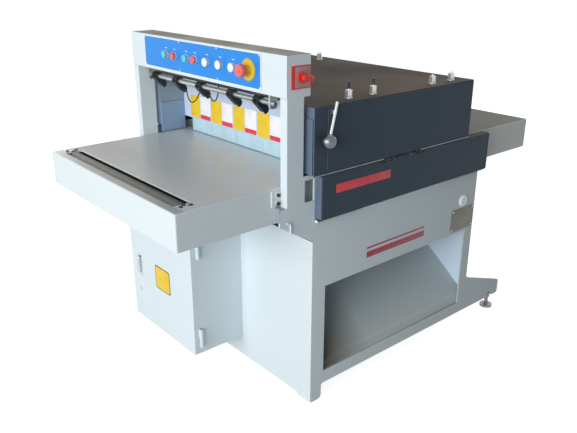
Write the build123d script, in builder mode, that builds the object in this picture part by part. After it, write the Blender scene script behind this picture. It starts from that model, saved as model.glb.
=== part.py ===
from build123d import *

import os
from math import cos, pi, radians, sin, tan

# Multi-blade rip saw. The work enters over the infeed table, passes under a control gate into a hood with
# pressure rollers above the saw blades, and leaves over the outfeed table.
# Frame: +X is the right-hand side, +Y the feed direction, +Z up, with the floor at z = 0.

# Driving dimensions, in millimetres
table_height = 850
half_width = 466
gate_front = -545
gate_top = 1256
head_bottom = 1130
head_depth = 94
post_width = 32
post_depth = 70
post_foot = 785
infeed_front = -928
infeed_half = 432
infeed_skirt = 119
bed_front = -327
base_front = -432
base_rear = 485
base_panel = 5
base_top = 640
side_plate = 6
side_top = 877
rail_bottom = 62
hood_half = 492
hood_front = -456
hood_rear = 357
hood_bottom = 880
hood_top = 1097
hood_sheet = 3
board_face = -345
board_bottom = 905
throat_half = 434
cover_half = 499
cover_bottom = 722
cover_top = 874
cover_front = -425
cover_rear = 493
outfeed_half = 404
outfeed_end = 928
outfeed_skirt = 126
cabinet_left = -395
cabinet_right = 62
cabinet_front = -660
cabinet_bottom = 99
cabinet_top = 728
door_depth = 28
arbor_y = 6
arbor_z = 780
blade_radius = 105
blade_count = 5
blade_pitch = 130
blade_teeth = 24
roller_offsets = (-273, -158, 156, 266)
stud_right = 448
stud_left = -270
overhang = 545

# Sizes that follow from them
gate_rear = gate_front + head_depth
post_rear = gate_front + post_depth
plate_inner = half_width - side_plate
work_middle = (stud_right + stud_left) / 2
blade_places = [work_middle + blade_pitch * (i - (blade_count - 1) / 2) for i in range(blade_count)]
roller_places = [arbor_y + step for step in roller_offsets]
idle_roller_y = infeed_front + 62
along_x = (0, 90, 0)
along_y = (90, 0, 0)

os.makedirs("parts", exist_ok=True)


def write(piece, name):
    """Label a finished piece and write its STEP file."""
    piece.part.label = name
    export_step(piece.part, f"parts/{name}.step")


def block(x, y, z, mode=Mode.ADD):
    """A box between two limits on each axis."""
    limits = (x, y, z)
    with Locations(tuple((low + high) / 2 for low, high in limits)):
        Box(*[high - low for low, high in limits], mode=mode)


def rod_x(x, y, z, radius, mode=Mode.ADD):
    """A round bar or hole along X between two limits."""
    with Locations(((x[0] + x[1]) / 2, y, z)):
        Cylinder(radius, x[1] - x[0], rotation=along_x, mode=mode)


def rod_y(x, y, z, radius, mode=Mode.ADD):
    """A round bar or hole along Y between two limits."""
    with Locations((x, (y[0] + y[1]) / 2, z)):
        Cylinder(radius, y[1] - y[0], rotation=along_y, mode=mode)


def rod_z(x, y, z, radius, mode=Mode.ADD):
    """A round bar or hole along Z between two limits."""
    with Locations((x, y, (z[0] + z[1]) / 2)):
        Cylinder(radius, z[1] - z[0], mode=mode)


# Base front panel: bent sheet with a shallow relief between its two feet
foot_width = 70
relief = 12
with BuildPart() as base_front_panel:
    with BuildSketch(Plane.XZ.offset(-base_front)):
        with BuildLine():
            FilletPolyline(
                (-half_width, base_top),
                (-half_width, 0),
                (foot_width - half_width, 0),
                (foot_width - half_width, relief),
                (half_width - foot_width, relief),
                (half_width - foot_width, 0),
                (half_width, 0),
                (half_width, base_top),
                radius=(0, 10, 6, 5, 5, 6, 10, 0),
                close=True,
            )
        make_face()
    extrude(amount=-base_panel)
write(base_front_panel, "base_front_panel")

# Base rear panel, seen through the chip window
with BuildPart() as base_rear_panel:
    block((-plate_inner, plate_inner), (base_rear - base_panel, base_rear), (rail_bottom, base_top))
write(base_rear_panel, "base_rear_panel")

# Side plates: front leg, gusset under the gate post, tapered tail behind the base and the bent foot tab
leg_rear = base_front + 53
tail_rear = 748
tail_top = 220
tail_end = 128
gusset_front = -573
gusset_bottom = 728
foot_y = 700
foot_x = 446
foot_stud = 8
notch_radius = 22
window_front = -370
window_rear = 435
window_bottom = 113
window_top = 459
arbor_bore = 46
lifting_y = 400
lifting_z = 597
lifting_radius = 25
motor_z = 330
shaft_hole = 32
port_width = 40
port_height = 74
port_z = 825
tab_width = 52
tab_length = 91
side_outline = [
    (base_front + base_panel, 0),
    (leg_rear, 0),
    (leg_rear, rail_bottom),
    (tail_rear, rail_bottom),
    (tail_rear, tail_end),
    (base_rear, tail_top),
    (base_rear, side_top),
    (post_rear, side_top),
    (post_rear, post_foot),
    (gusset_front, post_foot),
    (gusset_front, gusset_bottom),
    (base_front + base_panel, base_top),
]
side_radii = (0, 18, 10, 8, 14, 20, 0, 0, 0, 0, 4, 0)
for side, name in ((1, "right"), (-1, "left")):
    plane_start = plate_inner if side > 0 else -half_width
    with BuildPart() as base_side:
        with BuildSketch(Plane.YZ.offset(plane_start)):
            with BuildLine():
                FilletPolyline(*side_outline, radius=side_radii, close=True)
            make_face()
            with Locations((arbor_y, arbor_z)):
                Circle(arbor_bore, mode=Mode.SUBTRACT)
            with Locations((lifting_y, lifting_z)):
                Circle(lifting_radius, mode=Mode.SUBTRACT)
            with Locations((foot_y - 16, rail_bottom)):
                Circle(notch_radius, mode=Mode.SUBTRACT)
            if side > 0:
                with Locations(((window_front + window_rear) / 2, (window_bottom + window_top) / 2)):
                    Rectangle(window_rear - window_front, window_top - window_bottom, mode=Mode.SUBTRACT)
                with Locations((post_rear + 5 + port_width / 2, port_z)):
                    RectangleRounded(port_width, port_height, 3, mode=Mode.SUBTRACT)
            else:
                with Locations((arbor_y, motor_z)):
                    Circle(shaft_hole, mode=Mode.SUBTRACT)
        extrude(amount=side_plate)
        tab = sorted((side * plate_inner, side * (plate_inner - tab_width)))
        tab_rear = tail_rear - 3
        block(tab, (tab_rear - tab_length, tab_rear), (rail_bottom, rail_bottom + side_plate))
        rod_z(side * foot_x, foot_y, (rail_bottom, rail_bottom + side_plate), foot_stud + 0.2, Mode.SUBTRACT)
    write(base_side, f"base_side_{name}")

# Rear levelling feet: pad, threaded stud and lock nut in one turned piece each side
pad_radius = 28
pad_height = 10
foot_stud_top = 105
lock_nut = 13
upright = (Align.CENTER, Align.CENTER, Align.MIN)
with BuildPart() as levelling_feet:
    with Locations((-foot_x, foot_y), (foot_x, foot_y)):
        Cylinder(pad_radius, pad_height, align=upright)
        Cone(20, 11, pad_height + 2, align=upright)
        Cylinder(foot_stud, foot_stud_top, align=upright)
    with BuildSketch(Plane.XY.offset(rail_bottom - lock_nut)):
        with Locations((-foot_x, foot_y), (foot_x, foot_y)):
            RegularPolygon(14, 6)
    extrude(amount=lock_nut)
write(levelling_feet, "levelling_feet")

# Chip chute: bent sheet that falls from under the blades to the window
chute_sheet = 3
chute_points = [(455, 116), (455, 152), (-60, 541), (-458, 660)]
with BuildPart() as chip_chute:
    with BuildSketch(Plane.XZ.offset(-(base_front + base_panel))):
        with BuildLine() as chute_line:
            FilletPolyline(*chute_points, radius=12)
            offset(amount=chute_sheet, side=Side.RIGHT, closed=True)
        make_face()
    extrude(amount=-(base_rear - base_front - 2 * base_panel))
write(chip_chute, "chip_chute")

# Lifting sockets: short tubes welded inside the side plates, each closed by a domed plug
socket_depth = 86
socket_wall = 3
plug_depth = 12
plug_rise = 9
with BuildPart() as lifting_sockets:
    for side in (-1, 1):
        span = sorted((side * half_width, side * (half_width - socket_depth)))
        rod_x(span, lifting_y, lifting_z, lifting_radius)
        plug = sorted((side * half_width, side * (half_width + plug_rise)))
        rod_x(plug, lifting_y, lifting_z, lifting_radius)
    fillet(lifting_sockets.edges().filter_by(GeomType.CIRCLE).sort_by(Axis.X)[-1], plug_rise - 1)
    fillet(lifting_sockets.edges().filter_by(GeomType.CIRCLE).sort_by(Axis.X)[0], plug_rise - 1)
    for side in (-1, 1):
        bore = sorted((side * (half_width - socket_depth), side * (half_width - plug_depth)))
        rod_x(bore, lifting_y, lifting_z, lifting_radius - socket_wall, Mode.SUBTRACT)
write(lifting_sockets, "lifting_sockets")

# Infeed table: folded sheet, open below and behind, with the long slot of the idle roller
table_sheet = 4
slot_half = 372
slot_width = 60
with BuildPart() as infeed_table:
    skirt = (table_height - infeed_skirt, table_height)
    block((-infeed_half, infeed_half), (infeed_front, bed_front - 0.3), skirt)
    fillet(infeed_table.edges().filter_by(Axis.Z).group_by(Axis.Y)[0], 6)
    top_edges = infeed_table.faces().sort_by(Axis.Z)[-1].edges()
    fillet(top_edges.sort_by(Axis.Y)[:-1], 5)
    inside = infeed_half - table_sheet
    hollow = (skirt[0] - 1, table_height - table_sheet)
    block((-inside, inside), (infeed_front + table_sheet, bed_front), hollow, Mode.SUBTRACT)
    with BuildSketch(Plane.XY.offset(table_height)):
        with Locations((0, idle_roller_y)):
            RectangleRounded(2 * slot_half, slot_width, 6)
    extrude(amount=-2 * table_sheet, mode=Mode.SUBTRACT)
write(infeed_table, "infeed_table")

# Idle roller sunk in the infeed table, standing one millimetre proud of it
idle_radius = 27
idle_z = table_height + 1 - idle_radius
idle_journal = 8
idle_end = slot_half + 32
with BuildPart() as infeed_roller:
    rod_x((6 - slot_half, slot_half - 6), idle_roller_y, idle_z, idle_radius)
    chamfer(infeed_roller.edges().filter_by(GeomType.CIRCLE), 2)
    rod_x((-idle_end, idle_end), idle_roller_y, idle_z, idle_journal)
write(infeed_roller, "infeed_roller")

# Table brackets: flat plates on the table's sides against the posts, and the blocks that carry both tables
bracket_width = 35
bracket_height = 55
bracket_z = 814
bracket_sheet = 5
infeed_carrier = (736, post_foot)
outfeed_carrier = (740, 800)
with BuildPart() as table_brackets:
    for side in (-1, 1):
        with BuildSketch(Plane.YZ.offset(side * infeed_half)):
            with Locations((gate_front - 0.5 - bracket_width / 2, bracket_z)):
                RectangleRounded(bracket_width, bracket_height, 4)
        extrude(amount=side * bracket_sheet)
        spacer = sorted((side * infeed_half, side * plate_inner))
        block(spacer, (gusset_front + 8, gate_front + 62), infeed_carrier)
        outfeed_spacer = sorted((side * outfeed_half, side * plate_inner))
        block(outfeed_spacer, (hood_rear + 25, base_rear - 12), outfeed_carrier)
write(table_brackets, "table_brackets")

# Gate posts: rectangular tube standing on the side plates
post_wall = 3
with BuildPart() as gate_posts:
    post_middle = (gate_front + post_rear) / 2
    with BuildSketch(Plane.XY.offset(post_foot)):
        for side in (-1, 1):
            with Locations((side * (half_width - post_width / 2), post_middle)):
                RectangleRounded(post_width, post_depth, post_wall)
                bore = (post_width - 2 * post_wall, post_depth - 2 * post_wall)
                RectangleRounded(*bore, post_wall / 2, mode=Mode.SUBTRACT)
    extrude(amount=head_bottom - post_foot)
write(gate_posts, "gate_posts")

# Control box across the posts, open at the back: a front sheet with the seats of the buttons, a top, a bottom and
# two end sheets set behind it, the right one with the seat of the main switch
box_sheet = 2.5
box_seam = 0.1
button_places = (-209, -152, -73, -19, 55, 131, 204)
button_z = 1194.5
stop_x = 283
stop_z = 1196
barrel_radius = 11.2
switch_y = -490
switch_z = 1190.5
switch_shaft = 6
with BuildPart() as control_box:
    block((-half_width, half_width), (gate_front, gate_front + box_sheet), (head_bottom, gate_top))
    fillet(control_box.edges().filter_by(Axis.X).group_by(Axis.Y)[0], 2)
    inside = half_width - box_sheet
    behind_front = (gate_front + box_sheet + box_seam, gate_rear)
    for level in (head_bottom, gate_top - box_sheet):
        block((-half_width, half_width), behind_front, (level, level + box_sheet))
    between_sheets = (head_bottom + box_sheet + box_seam, gate_top - box_sheet - box_seam)
    for start in (-half_width, inside):
        block((start, start + box_sheet), behind_front, between_sheets)
    front_wall = (gate_front - 1, gate_front + box_sheet + 1)
    for place, height in [(place, button_z) for place in button_places] + [(stop_x, stop_z)]:
        rod_y(place, front_wall, height, barrel_radius + 0.1, Mode.SUBTRACT)
    end_wall = (inside - 1, half_width + 1)
    rod_x(end_wall, switch_y, switch_z, switch_shaft + 0.1, Mode.SUBTRACT)
write(control_box, "control_box")

# Back cover of the control box, with the slot where the cables go in
cable_slot_x = -240
cable_slot_length = 120
cable_slot_height = 50
with BuildPart() as control_box_cover:
    head_middle = (head_bottom + gate_top) / 2
    with BuildSketch(Plane.XZ.offset(-gate_rear)):
        with Locations((0, head_middle)):
            RectangleRounded(2 * half_width - 8, gate_top - head_bottom - 8, 4)
        with Locations((cable_slot_x, head_middle)):
            Rectangle(cable_slot_length, cable_slot_height, mode=Mode.SUBTRACT)
    extrude(amount=-2)
write(control_box_cover, "control_box_cover")

# Blue control panel, a thin plate on the front of the control box
panel_left = -366
panel_right = 346
panel_bottom = 1139
panel_top = 1252
panel_sheet = 1.2
panel_face = gate_front - panel_sheet
with BuildPart() as control_panel:
    with BuildSketch(Plane.XZ.offset(-gate_front)):
        with Locations(((panel_left + panel_right) / 2, (panel_bottom + panel_top) / 2)):
            RectangleRounded(panel_right - panel_left, panel_top - panel_bottom, 3)
        with Locations(*[(place, button_z) for place in button_places], (stop_x, stop_z)):
            Circle(barrel_radius + 0.1, mode=Mode.SUBTRACT)
    extrude(amount=panel_sheet)
write(control_panel, "control_panel")

# Button collars: a rim in front of the panel and a barrel through it into the box
collar_radius = 14.5
collar_height = 5
bore_radius = 9.2
barrel_end = gate_front + 26
with BuildPart() as button_collars:
    for place in button_places:
        rod_y(place, (panel_face - collar_height, panel_face), button_z, collar_radius)
        rod_y(place, (panel_face, barrel_end), button_z, barrel_radius)
        rod_y(place, (panel_face - 9, barrel_end + 1), button_z, bore_radius, Mode.SUBTRACT)
write(button_collars, "button_collars")

# Push buttons: a bevelled cap on a stem that slides in the collar's barrel
button_travel = 3
cap_height = 6
cap_bevel = 1.5
coloured_cap = 13
white_cap = 14.5
cap_rear = panel_face - collar_height - button_travel - 0.5
button_names = (
    "saw_start_button",
    "saw_stop_button",
    "feed_start_button",
    "feed_stop_button",
    "laser_button",
    "lamp_button",
    "jog_button",
)
for place, name in zip(button_places, button_names):
    cap_radius = white_cap if place > 0 else coloured_cap
    with BuildPart() as push_button:
        with BuildSketch(Plane.XZ.offset(-cap_rear)):
            with Locations((place, button_z)):
                Circle(cap_radius)
        extrude(amount=cap_height)
        chamfer(push_button.edges().sort_by(Axis.Y)[0], cap_bevel)
        rod_y(place, (cap_rear, barrel_end - 4), button_z, bore_radius - 0.1)
    write(push_button, name)

# Emergency stop: yellow ring with its neck, and the red mushroom that slides in it
stop_travel = 5
ring_radius = 35
ring_height = 4
neck_radius = 15
neck_front = panel_face - 18
mushroom_radius = 20
mushroom_height = 18
with BuildPart() as emergency_ring:
    with BuildSketch(Plane.XZ.offset(-panel_face)):
        with Locations((stop_x, stop_z)):
            Circle(ring_radius)
    extrude(amount=ring_height)
    chamfer(emergency_ring.edges().sort_by(Axis.Y)[0], 1.5)
    rod_y(stop_x, (neck_front, panel_face), stop_z, neck_radius)
    rod_y(stop_x, (panel_face, barrel_end), stop_z, barrel_radius)
    rod_y(stop_x, (neck_front - 1, barrel_end + 1), stop_z, bore_radius, Mode.SUBTRACT)
write(emergency_ring, "emergency_ring")

mushroom_rear = neck_front - stop_travel - 1
with BuildPart() as emergency_button:
    with BuildSketch(Plane.XZ.offset(-mushroom_rear)):
        with Locations((stop_x, stop_z)):
            Circle(mushroom_radius)
    extrude(amount=mushroom_height)
    fillet(emergency_button.edges().sort_by(Axis.Y)[0], 5)
    rod_y(stop_x, (mushroom_rear, barrel_end - 6), stop_z, bore_radius - 0.1)
write(emergency_button, "emergency_button")

# Main switch on the right end of the control box: red plate and the turning knob
switch_width = 76
switch_height = 69
switch_sheet = 3
with BuildPart() as switch_plate:
    with BuildSketch(Plane.YZ.offset(half_width)):
        with Locations((switch_y, switch_z)):
            RectangleRounded(switch_width, switch_height, 3)
            Circle(switch_shaft + 0.1, mode=Mode.SUBTRACT)
    extrude(amount=switch_sheet)
write(switch_plate, "switch_plate")

knob_face = half_width + switch_sheet + 0.3
knob_radius = 18
knob_base = 8
grip_length = 26
grip_width = 18
grip_rise = 13
grip_turn = -12
with BuildPart() as main_switch_knob:
    rod_x((knob_face, knob_face + knob_base), switch_y, switch_z, knob_radius)
    with BuildSketch(Plane.YZ.offset(knob_face + knob_base)):
        with Locations(Location((switch_y, switch_z), grip_turn)):
            with Locations((grip_length / 2, 0)):
                SlotOverall(grip_length + grip_width, grip_width)
    extrude(amount=grip_rise)
    fillet(main_switch_knob.faces().sort_by(Axis.X)[-1].edges(), 4)
    rod_x((half_width - 14, knob_face), switch_y, switch_z, switch_shaft)
write(main_switch_knob, "main_switch_knob")

# Laser rod under the control box, with its two hanging brackets
rod_radius = 9
rod_place = (-493, 1092)
rod_ends = (-428, 350)
with BuildPart() as laser_rod:
    rod_x(rod_ends, *rod_place, rod_radius)
    chamfer(laser_rod.edges().filter_by(GeomType.CIRCLE), 1)
write(laser_rod, "laser_rod")

hanger_sheet = 6
hanger_root = 17
hanger_tip = 14
hanger_bottom = rod_place[1] - 17
flange_half = 14
flange_sheet = 4
with BuildPart() as laser_brackets:
    for place in (rod_ends[0] + 10, rod_ends[1] - 12):
        with BuildSketch(Plane.YZ.offset(place - hanger_sheet / 2)):
            with BuildLine():
                FilletPolyline(
                    (rod_place[0] - hanger_root, head_bottom),
                    (rod_place[0] - hanger_tip, hanger_bottom),
                    (rod_place[0] + hanger_tip, hanger_bottom),
                    (rod_place[0] + hanger_root, head_bottom),
                    radius=(0, 8, 8, 0),
                    close=True,
                )
            make_face()
            with Locations(rod_place):
                Circle(rod_radius + 0.05, mode=Mode.SUBTRACT)
        extrude(amount=hanger_sheet)
        depth = (rod_place[0] - hanger_root, rod_place[0] + hanger_root)
        block((place - flange_half, place + flange_half), depth, (head_bottom - flange_sheet, head_bottom))
write(laser_brackets, "laser_brackets")

# Line-laser units: a clamp arm around the rod and a short barrel that points down at the work
laser_places = (-380, -230, -72, 118, 264)
laser_tilt = 34.5
arm_reach = 39
arm_width = 24
clamp_radius = 17
nose_radius = 11
lens_radius = 8
lens_reach = 15
clamp_screw = 6
arm_run = (arm_reach * sin(radians(laser_tilt)), -arm_reach * cos(radians(laser_tilt)))
nose_place = (rod_place[0] + arm_run[0], rod_place[1] + arm_run[1])
with BuildPart() as laser_units:
    for place in laser_places:
        with BuildSketch(Plane.YZ.offset(place - arm_width / 2)):
            with Locations(rod_place):
                Circle(clamp_radius)
            with Locations(nose_place):
                Circle(nose_radius)
            make_hull()
        extrude(amount=arm_width)
        with Locations(Location((place, *nose_place), (180 + laser_tilt, 0, 0))):
            Cylinder(lens_radius, lens_reach, align=upright)
        rod_y(place, (rod_place[0] - clamp_radius - 7, rod_place[0]), rod_place[1], clamp_screw)
    rod_x((rod_ends[0] - 1, rod_ends[1] + 1), *rod_place, rod_radius + 0.05, Mode.SUBTRACT)
write(laser_units, "laser_units")


# Leads of the laser units: two short loops, held at both ends
def corner_radii(points):
    """The largest even arcs that the runs of a route leave room for."""
    radii = []
    for before, here, after in zip(points, points[1:], points[2:]):
        first = Vector(here) - Vector(before)
        second = Vector(after) - Vector(here)
        turn = radians(first.get_angle(second))
        radii.append(0.45 * min(first.length, second.length) / tan(turn / 2))
    return radii


lead_radius = 2.2
lead_sides = 8
lead_routes = [
    [
        (laser_places[1] + arm_width / 2, -478, 1062),
        (-195, -478, 1062),
        (-180, -483, 1032),
        (-150, -487, 1017),
        (-121, -484, 1032),
        (-106, -478, 1062),
        (laser_places[2] - arm_width / 2, -478, 1062),
    ],
    [
        (laser_places[2] + arm_width / 2, -478, 1062),
        (-40, -478, 1062),
        (-20, -480, 1042),
        (4, -481, 1050),
        (14, -477, 1080),
        (14, -476, 1104),
        (14, -476, head_bottom),
    ],
]
with BuildPart() as laser_leads:
    for route in lead_routes:
        radii = corner_radii(route)
        print("lead radii", [round(radius, 1) for radius in radii])
        with BuildLine() as lead_line:
            FilletPolyline(*route, radius=radii)
        with BuildSketch(Plane(lead_line.line @ 0, z_dir=lead_line.line % 0)):
            RegularPolygon(lead_radius, lead_sides)
        sweep(path=lead_line.line)
write(laser_leads, "laser_leads")

# Bed plate between the side plates, with the slots of the lower rollers and of the blades
bed_thickness = 12
bed_bottom = table_height - bed_thickness
lower_places = (roller_places[0], roller_places[3])
lower_radius = 27
lower_z = table_height + 1 - lower_radius
with BuildPart() as bed_plate:
    with BuildSketch(Plane.XY.offset(bed_bottom)):
        with Locations((0, (bed_front + hood_rear) / 2)):
            Rectangle(2 * plate_inner, hood_rear - bed_front)
        with Locations(*[(0, place) for place in lower_places]):
            Rectangle(2 * throat_half, slot_width, mode=Mode.SUBTRACT)
        with Locations(*[(place, arbor_y) for place in blade_places]):
            SlotOverall(2 * blade_radius - 22, 9, rotation=90, mode=Mode.SUBTRACT)
    extrude(amount=bed_thickness)
write(bed_plate, "bed_plate")

# Hood: folded sheet box with two cheeks beside the throat, their liners, a front board and slots for the work
panel_edge = -400
cheek_raise = 4
cheek_top = 1062
panel_raise = 3
hood_round = 2.5
stud_radius = 5
lever_y = -388
lever_z = 1076
lever_shaft = 7
liner_sheet = 3
liner_top = 972
inner_half = hood_half - hood_sheet
inner_top = hood_top - hood_sheet
board_back = board_face + hood_sheet
with BuildPart() as hood:
    block((-hood_half, hood_half), (hood_front, hood_rear), (hood_bottom, hood_top))
    fillet(hood.edges().filter_by(Axis.Z), hood_round)
    fillet(hood.faces().sort_by(Axis.Z)[-1].edges(), hood_round)
    panel_rear = hood_rear - 2 * hood_round
    with BuildSketch(Plane.YZ.offset(hood_half)):
        with Locations(((panel_edge + panel_rear) / 2, (hood_bottom + hood_top) / 2)):
            Rectangle(panel_rear - panel_edge, hood_top - hood_bottom - 4 * hood_round)
    extrude(amount=panel_raise)
    with BuildSketch(Plane.XZ.offset(-hood_front)):
        for side in (-1, 1):
            with Locations((side * (throat_half + hood_half) / 2, (hood_bottom + cheek_top) / 2)):
                Rectangle(hood_half - throat_half - 8, cheek_top - hood_bottom - 4)
    extrude(amount=cheek_raise)
    low = hood_bottom - 1
    block((-inner_half, inner_half), (board_back, hood_rear - hood_sheet), (low, inner_top), Mode.SUBTRACT)
    for side in (-1, 1):
        cheek = sorted((side * (throat_half + hood_sheet), side * inner_half))
        block(cheek, (hood_front + hood_sheet, board_back), (low, inner_top), Mode.SUBTRACT)
    throat = (-throat_half, throat_half)
    block(throat, (hood_front - 1, board_face), (low, inner_top), Mode.SUBTRACT)
    block(throat, (board_face - 1, board_back + 1), (low, board_bottom), Mode.SUBTRACT)
    block(throat, (hood_rear - 4, hood_rear + 1), (low, board_bottom), Mode.SUBTRACT)
    for side in (-1, 1):
        flange = sorted((side * plate_inner, side * (hood_half - 1)))
        block(flange, (hood_front + 4, hood_rear - 4), (side_top, hood_bottom + 1))
        tongue = sorted((side * throat_half, side * (throat_half + hood_sheet)))
        block(tongue, (hood_front, board_face), (table_height + 2, hood_bottom + 2))
        liner = sorted((side * (throat_half - liner_sheet), side * throat_half))
        block(liner, (hood_front, board_face), (table_height + 2, liner_top))
    for place in roller_places:
        for stud in (stud_left, stud_right):
            rod_z(stud, place, (inner_top - 1, hood_top + 1), stud_radius + 0.1, Mode.SUBTRACT)
    rod_x((inner_half - 1, hood_half + 4), lever_y, lever_z, lever_shaft + 0.1, Mode.SUBTRACT)
write(hood, "hood")

# Lever on the hood's right side: shaft with its locking cam, slanted rod and ball
ball_radius = 24
lever_rod = 5
lever_hub = 8
lever_head = 34
cam_radius = 16
cam_throw = 6
ball_place = Vector(overhang - ball_radius, -421, 993)
hub_place = Vector(510, lever_y, lever_z)
rod_line = (ball_place - hub_place).normalized()
rod_top = hub_place - rod_line * lever_head
hub_face = hood_half + panel_raise + 0.3
with BuildPart() as release_lever:
    rod_x((throat_half + 12, hub_face), lever_y, lever_z, lever_shaft)
    rod_x((throat_half + 14, hood_half - 14), lever_y, lever_z - cam_throw, cam_radius)
    rod_x((hub_face, hub_place.X), lever_y, lever_z, lever_hub)
    with BuildLine() as lever_line:
        Line(rod_top, ball_place)
    with BuildSketch(Plane(rod_top, z_dir=rod_line)):
        Circle(lever_rod)
    sweep(path=lever_line.line)
    with Locations(ball_place):
        Sphere(ball_radius)
write(release_lever, "release_lever")

# Pressure yokes: two bearing blocks on threaded studs that slide through the hood's top, stopped by nuts
upper_radius = 45
upper_z = table_height + 10 + upper_radius
journal = 15
nut_height = 24
nut_flats = 11
washer_radius = 13
washer_sheet = 3
block_half = 29
long_stud = 55
short_stud = 32
yoke_blocks = ((stud_right - 15, plate_inner - 0.5), (stud_left - 15, stud_left + 15))
for number, place in enumerate(roller_places, start=1):
    with BuildPart() as pressure_yoke:
        for stud, span in zip((stud_right, stud_left), yoke_blocks):
            block(span, (place - block_half, place + block_half), (upper_z - 30, upper_z + 34))
            rod_x((span[0] - 1, span[1] + 1), place, upper_z, journal + 0.05, Mode.SUBTRACT)
            stud_top = hood_top + (long_stud if number < 3 else short_stud)
            rod_z(stud, place, (upper_z + 30, stud_top), stud_radius)
            rod_z(stud, place, (hood_top + 0.1, hood_top + washer_sheet), washer_radius)
            with BuildSketch(Plane.XY.offset(hood_top + washer_sheet)):
                with Locations((stud, place)):
                    RegularPolygon(nut_flats, 6, major_radius=False)
            extrude(amount=nut_height)
    write(pressure_yoke, f"pressure_yoke_{number}")

    with BuildPart() as upper_roller:
        rod_x((stud_left + 23, stud_right - 20), place, upper_z, upper_radius)
        chamfer(upper_roller.edges().filter_by(GeomType.CIRCLE), 3)
        rod_x((stud_left - 40, plate_inner - 1), place, upper_z, journal)
    write(upper_roller, f"upper_roller_{number}")

# Lower rollers in the bed
lower_journal = 10
for place, name in zip(lower_places, ("front", "rear")):
    with BuildPart() as lower_roller:
        rod_x((2 - throat_half, throat_half - 2), place, lower_z, lower_radius)
        chamfer(lower_roller.edges().filter_by(GeomType.CIRCLE), 2)
        rod_x((1 - plate_inner, plate_inner - 1), place, lower_z, lower_journal)
    write(lower_roller, f"lower_roller_{name}")

# Bearing housings: flanged ones for the arbor, blocks for the lower rollers and for the idle roller
arbor_radius = 30
flange_radius = 56
flange_depth = 14
housing_half = 24
with BuildPart() as bearing_housings:
    for side in (-1, 1):
        flange = sorted((side * (plate_inner - flange_depth), side * plate_inner))
        rod_x(flange, arbor_y, arbor_z, flange_radius)
        spigot = sorted((side * plate_inner, side * (half_width + 4)))
        rod_x(spigot, arbor_y, arbor_z, arbor_bore - 0.1)
        reach = sorted((side * (plate_inner - 20), side * (half_width + 10)))
        rod_x(reach, arbor_y, arbor_z, arbor_radius + 0.05, Mode.SUBTRACT)
        for place in lower_places:
            span = sorted((side * (throat_half + 6), side * plate_inner))
            block(span, (place - housing_half, place + housing_half), (bed_bottom - 44, bed_bottom))
            rod_x(span, place, lower_z, lower_journal + 0.05, Mode.SUBTRACT)
        span = sorted((side * (slot_half + 4), side * (slot_half + 40)))
        depth = (idle_roller_y - housing_half, idle_roller_y + housing_half)
        block(span, depth, (idle_z - 18, table_height - table_sheet))
        rod_x(span, idle_roller_y, idle_z, idle_journal + 0.05, Mode.SUBTRACT)
write(bearing_housings, "bearing_housings")

# Saw arbor: shaft with its sleeves, end nut and grooved belt pulley
pulley_radius = 62
belt_places = (-492, -508, -524)
groove_depth = 10
groove_width = 13.6
blade_thickness = 3.2
sleeve_radius = 42
pulley_ends = (-533, -483)
end_nut = 18
with BuildPart() as saw_arbor:
    rod_x((pulley_ends[0] + 1, half_width + 10), arbor_y, arbor_z, arbor_radius)
    rod_x((blade_places[0] - 90, blade_places[-1] + 60), arbor_y, arbor_z, sleeve_radius)
    for place in blade_places:
        gap = (place - blade_thickness / 2, place + blade_thickness / 2)
        rod_x(gap, arbor_y, arbor_z, sleeve_radius + 1, Mode.SUBTRACT)
    rod_x((blade_places[0] - 10, blade_places[-1] + 10), arbor_y, arbor_z, arbor_radius)
    rod_x(pulley_ends, arbor_y, arbor_z, pulley_radius)
    for place in belt_places:
        groove = (place - groove_width / 2, place + groove_width / 2)
        rod_x(groove, arbor_y, arbor_z, pulley_radius + 1, Mode.SUBTRACT)
        rod_x(groove, arbor_y, arbor_z, pulley_radius - groove_depth)
    with BuildSketch(Plane.YZ.offset(blade_places[-1] + 60)):
        with Locations((arbor_y, arbor_z)):
            RegularPolygon(sleeve_radius - 2, 6)
    extrude(amount=end_nut)
write(saw_arbor, "saw_arbor")


# Saw blades: each tooth has a tip, a gullet and a sloping back
def blade_outline():
    """Corners of a toothed blade, tooth by tooth."""
    step = 2 * pi / blade_teeth
    corners = []
    for tooth in range(blade_teeth):
        for share, depth in ((0, 0), (0.08, 11), (0.4, 9)):
            angle = (tooth + share) * step
            reach = blade_radius - depth
            corners.append((reach * cos(angle), reach * sin(angle)))
    return corners


with BuildPart() as saw_blades:
    for place in blade_places:
        start = place - blade_thickness / 2
        with BuildSketch(Plane((start, arbor_y, arbor_z), x_dir=(0, 1, 0), z_dir=(1, 0, 0))):
            with BuildLine():
                Polyline(*blade_outline(), close=True)
            make_face()
            Circle(arbor_radius + 0.05, mode=Mode.SUBTRACT)
        extrude(amount=blade_thickness)
write(saw_blades, "saw_blades")

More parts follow.
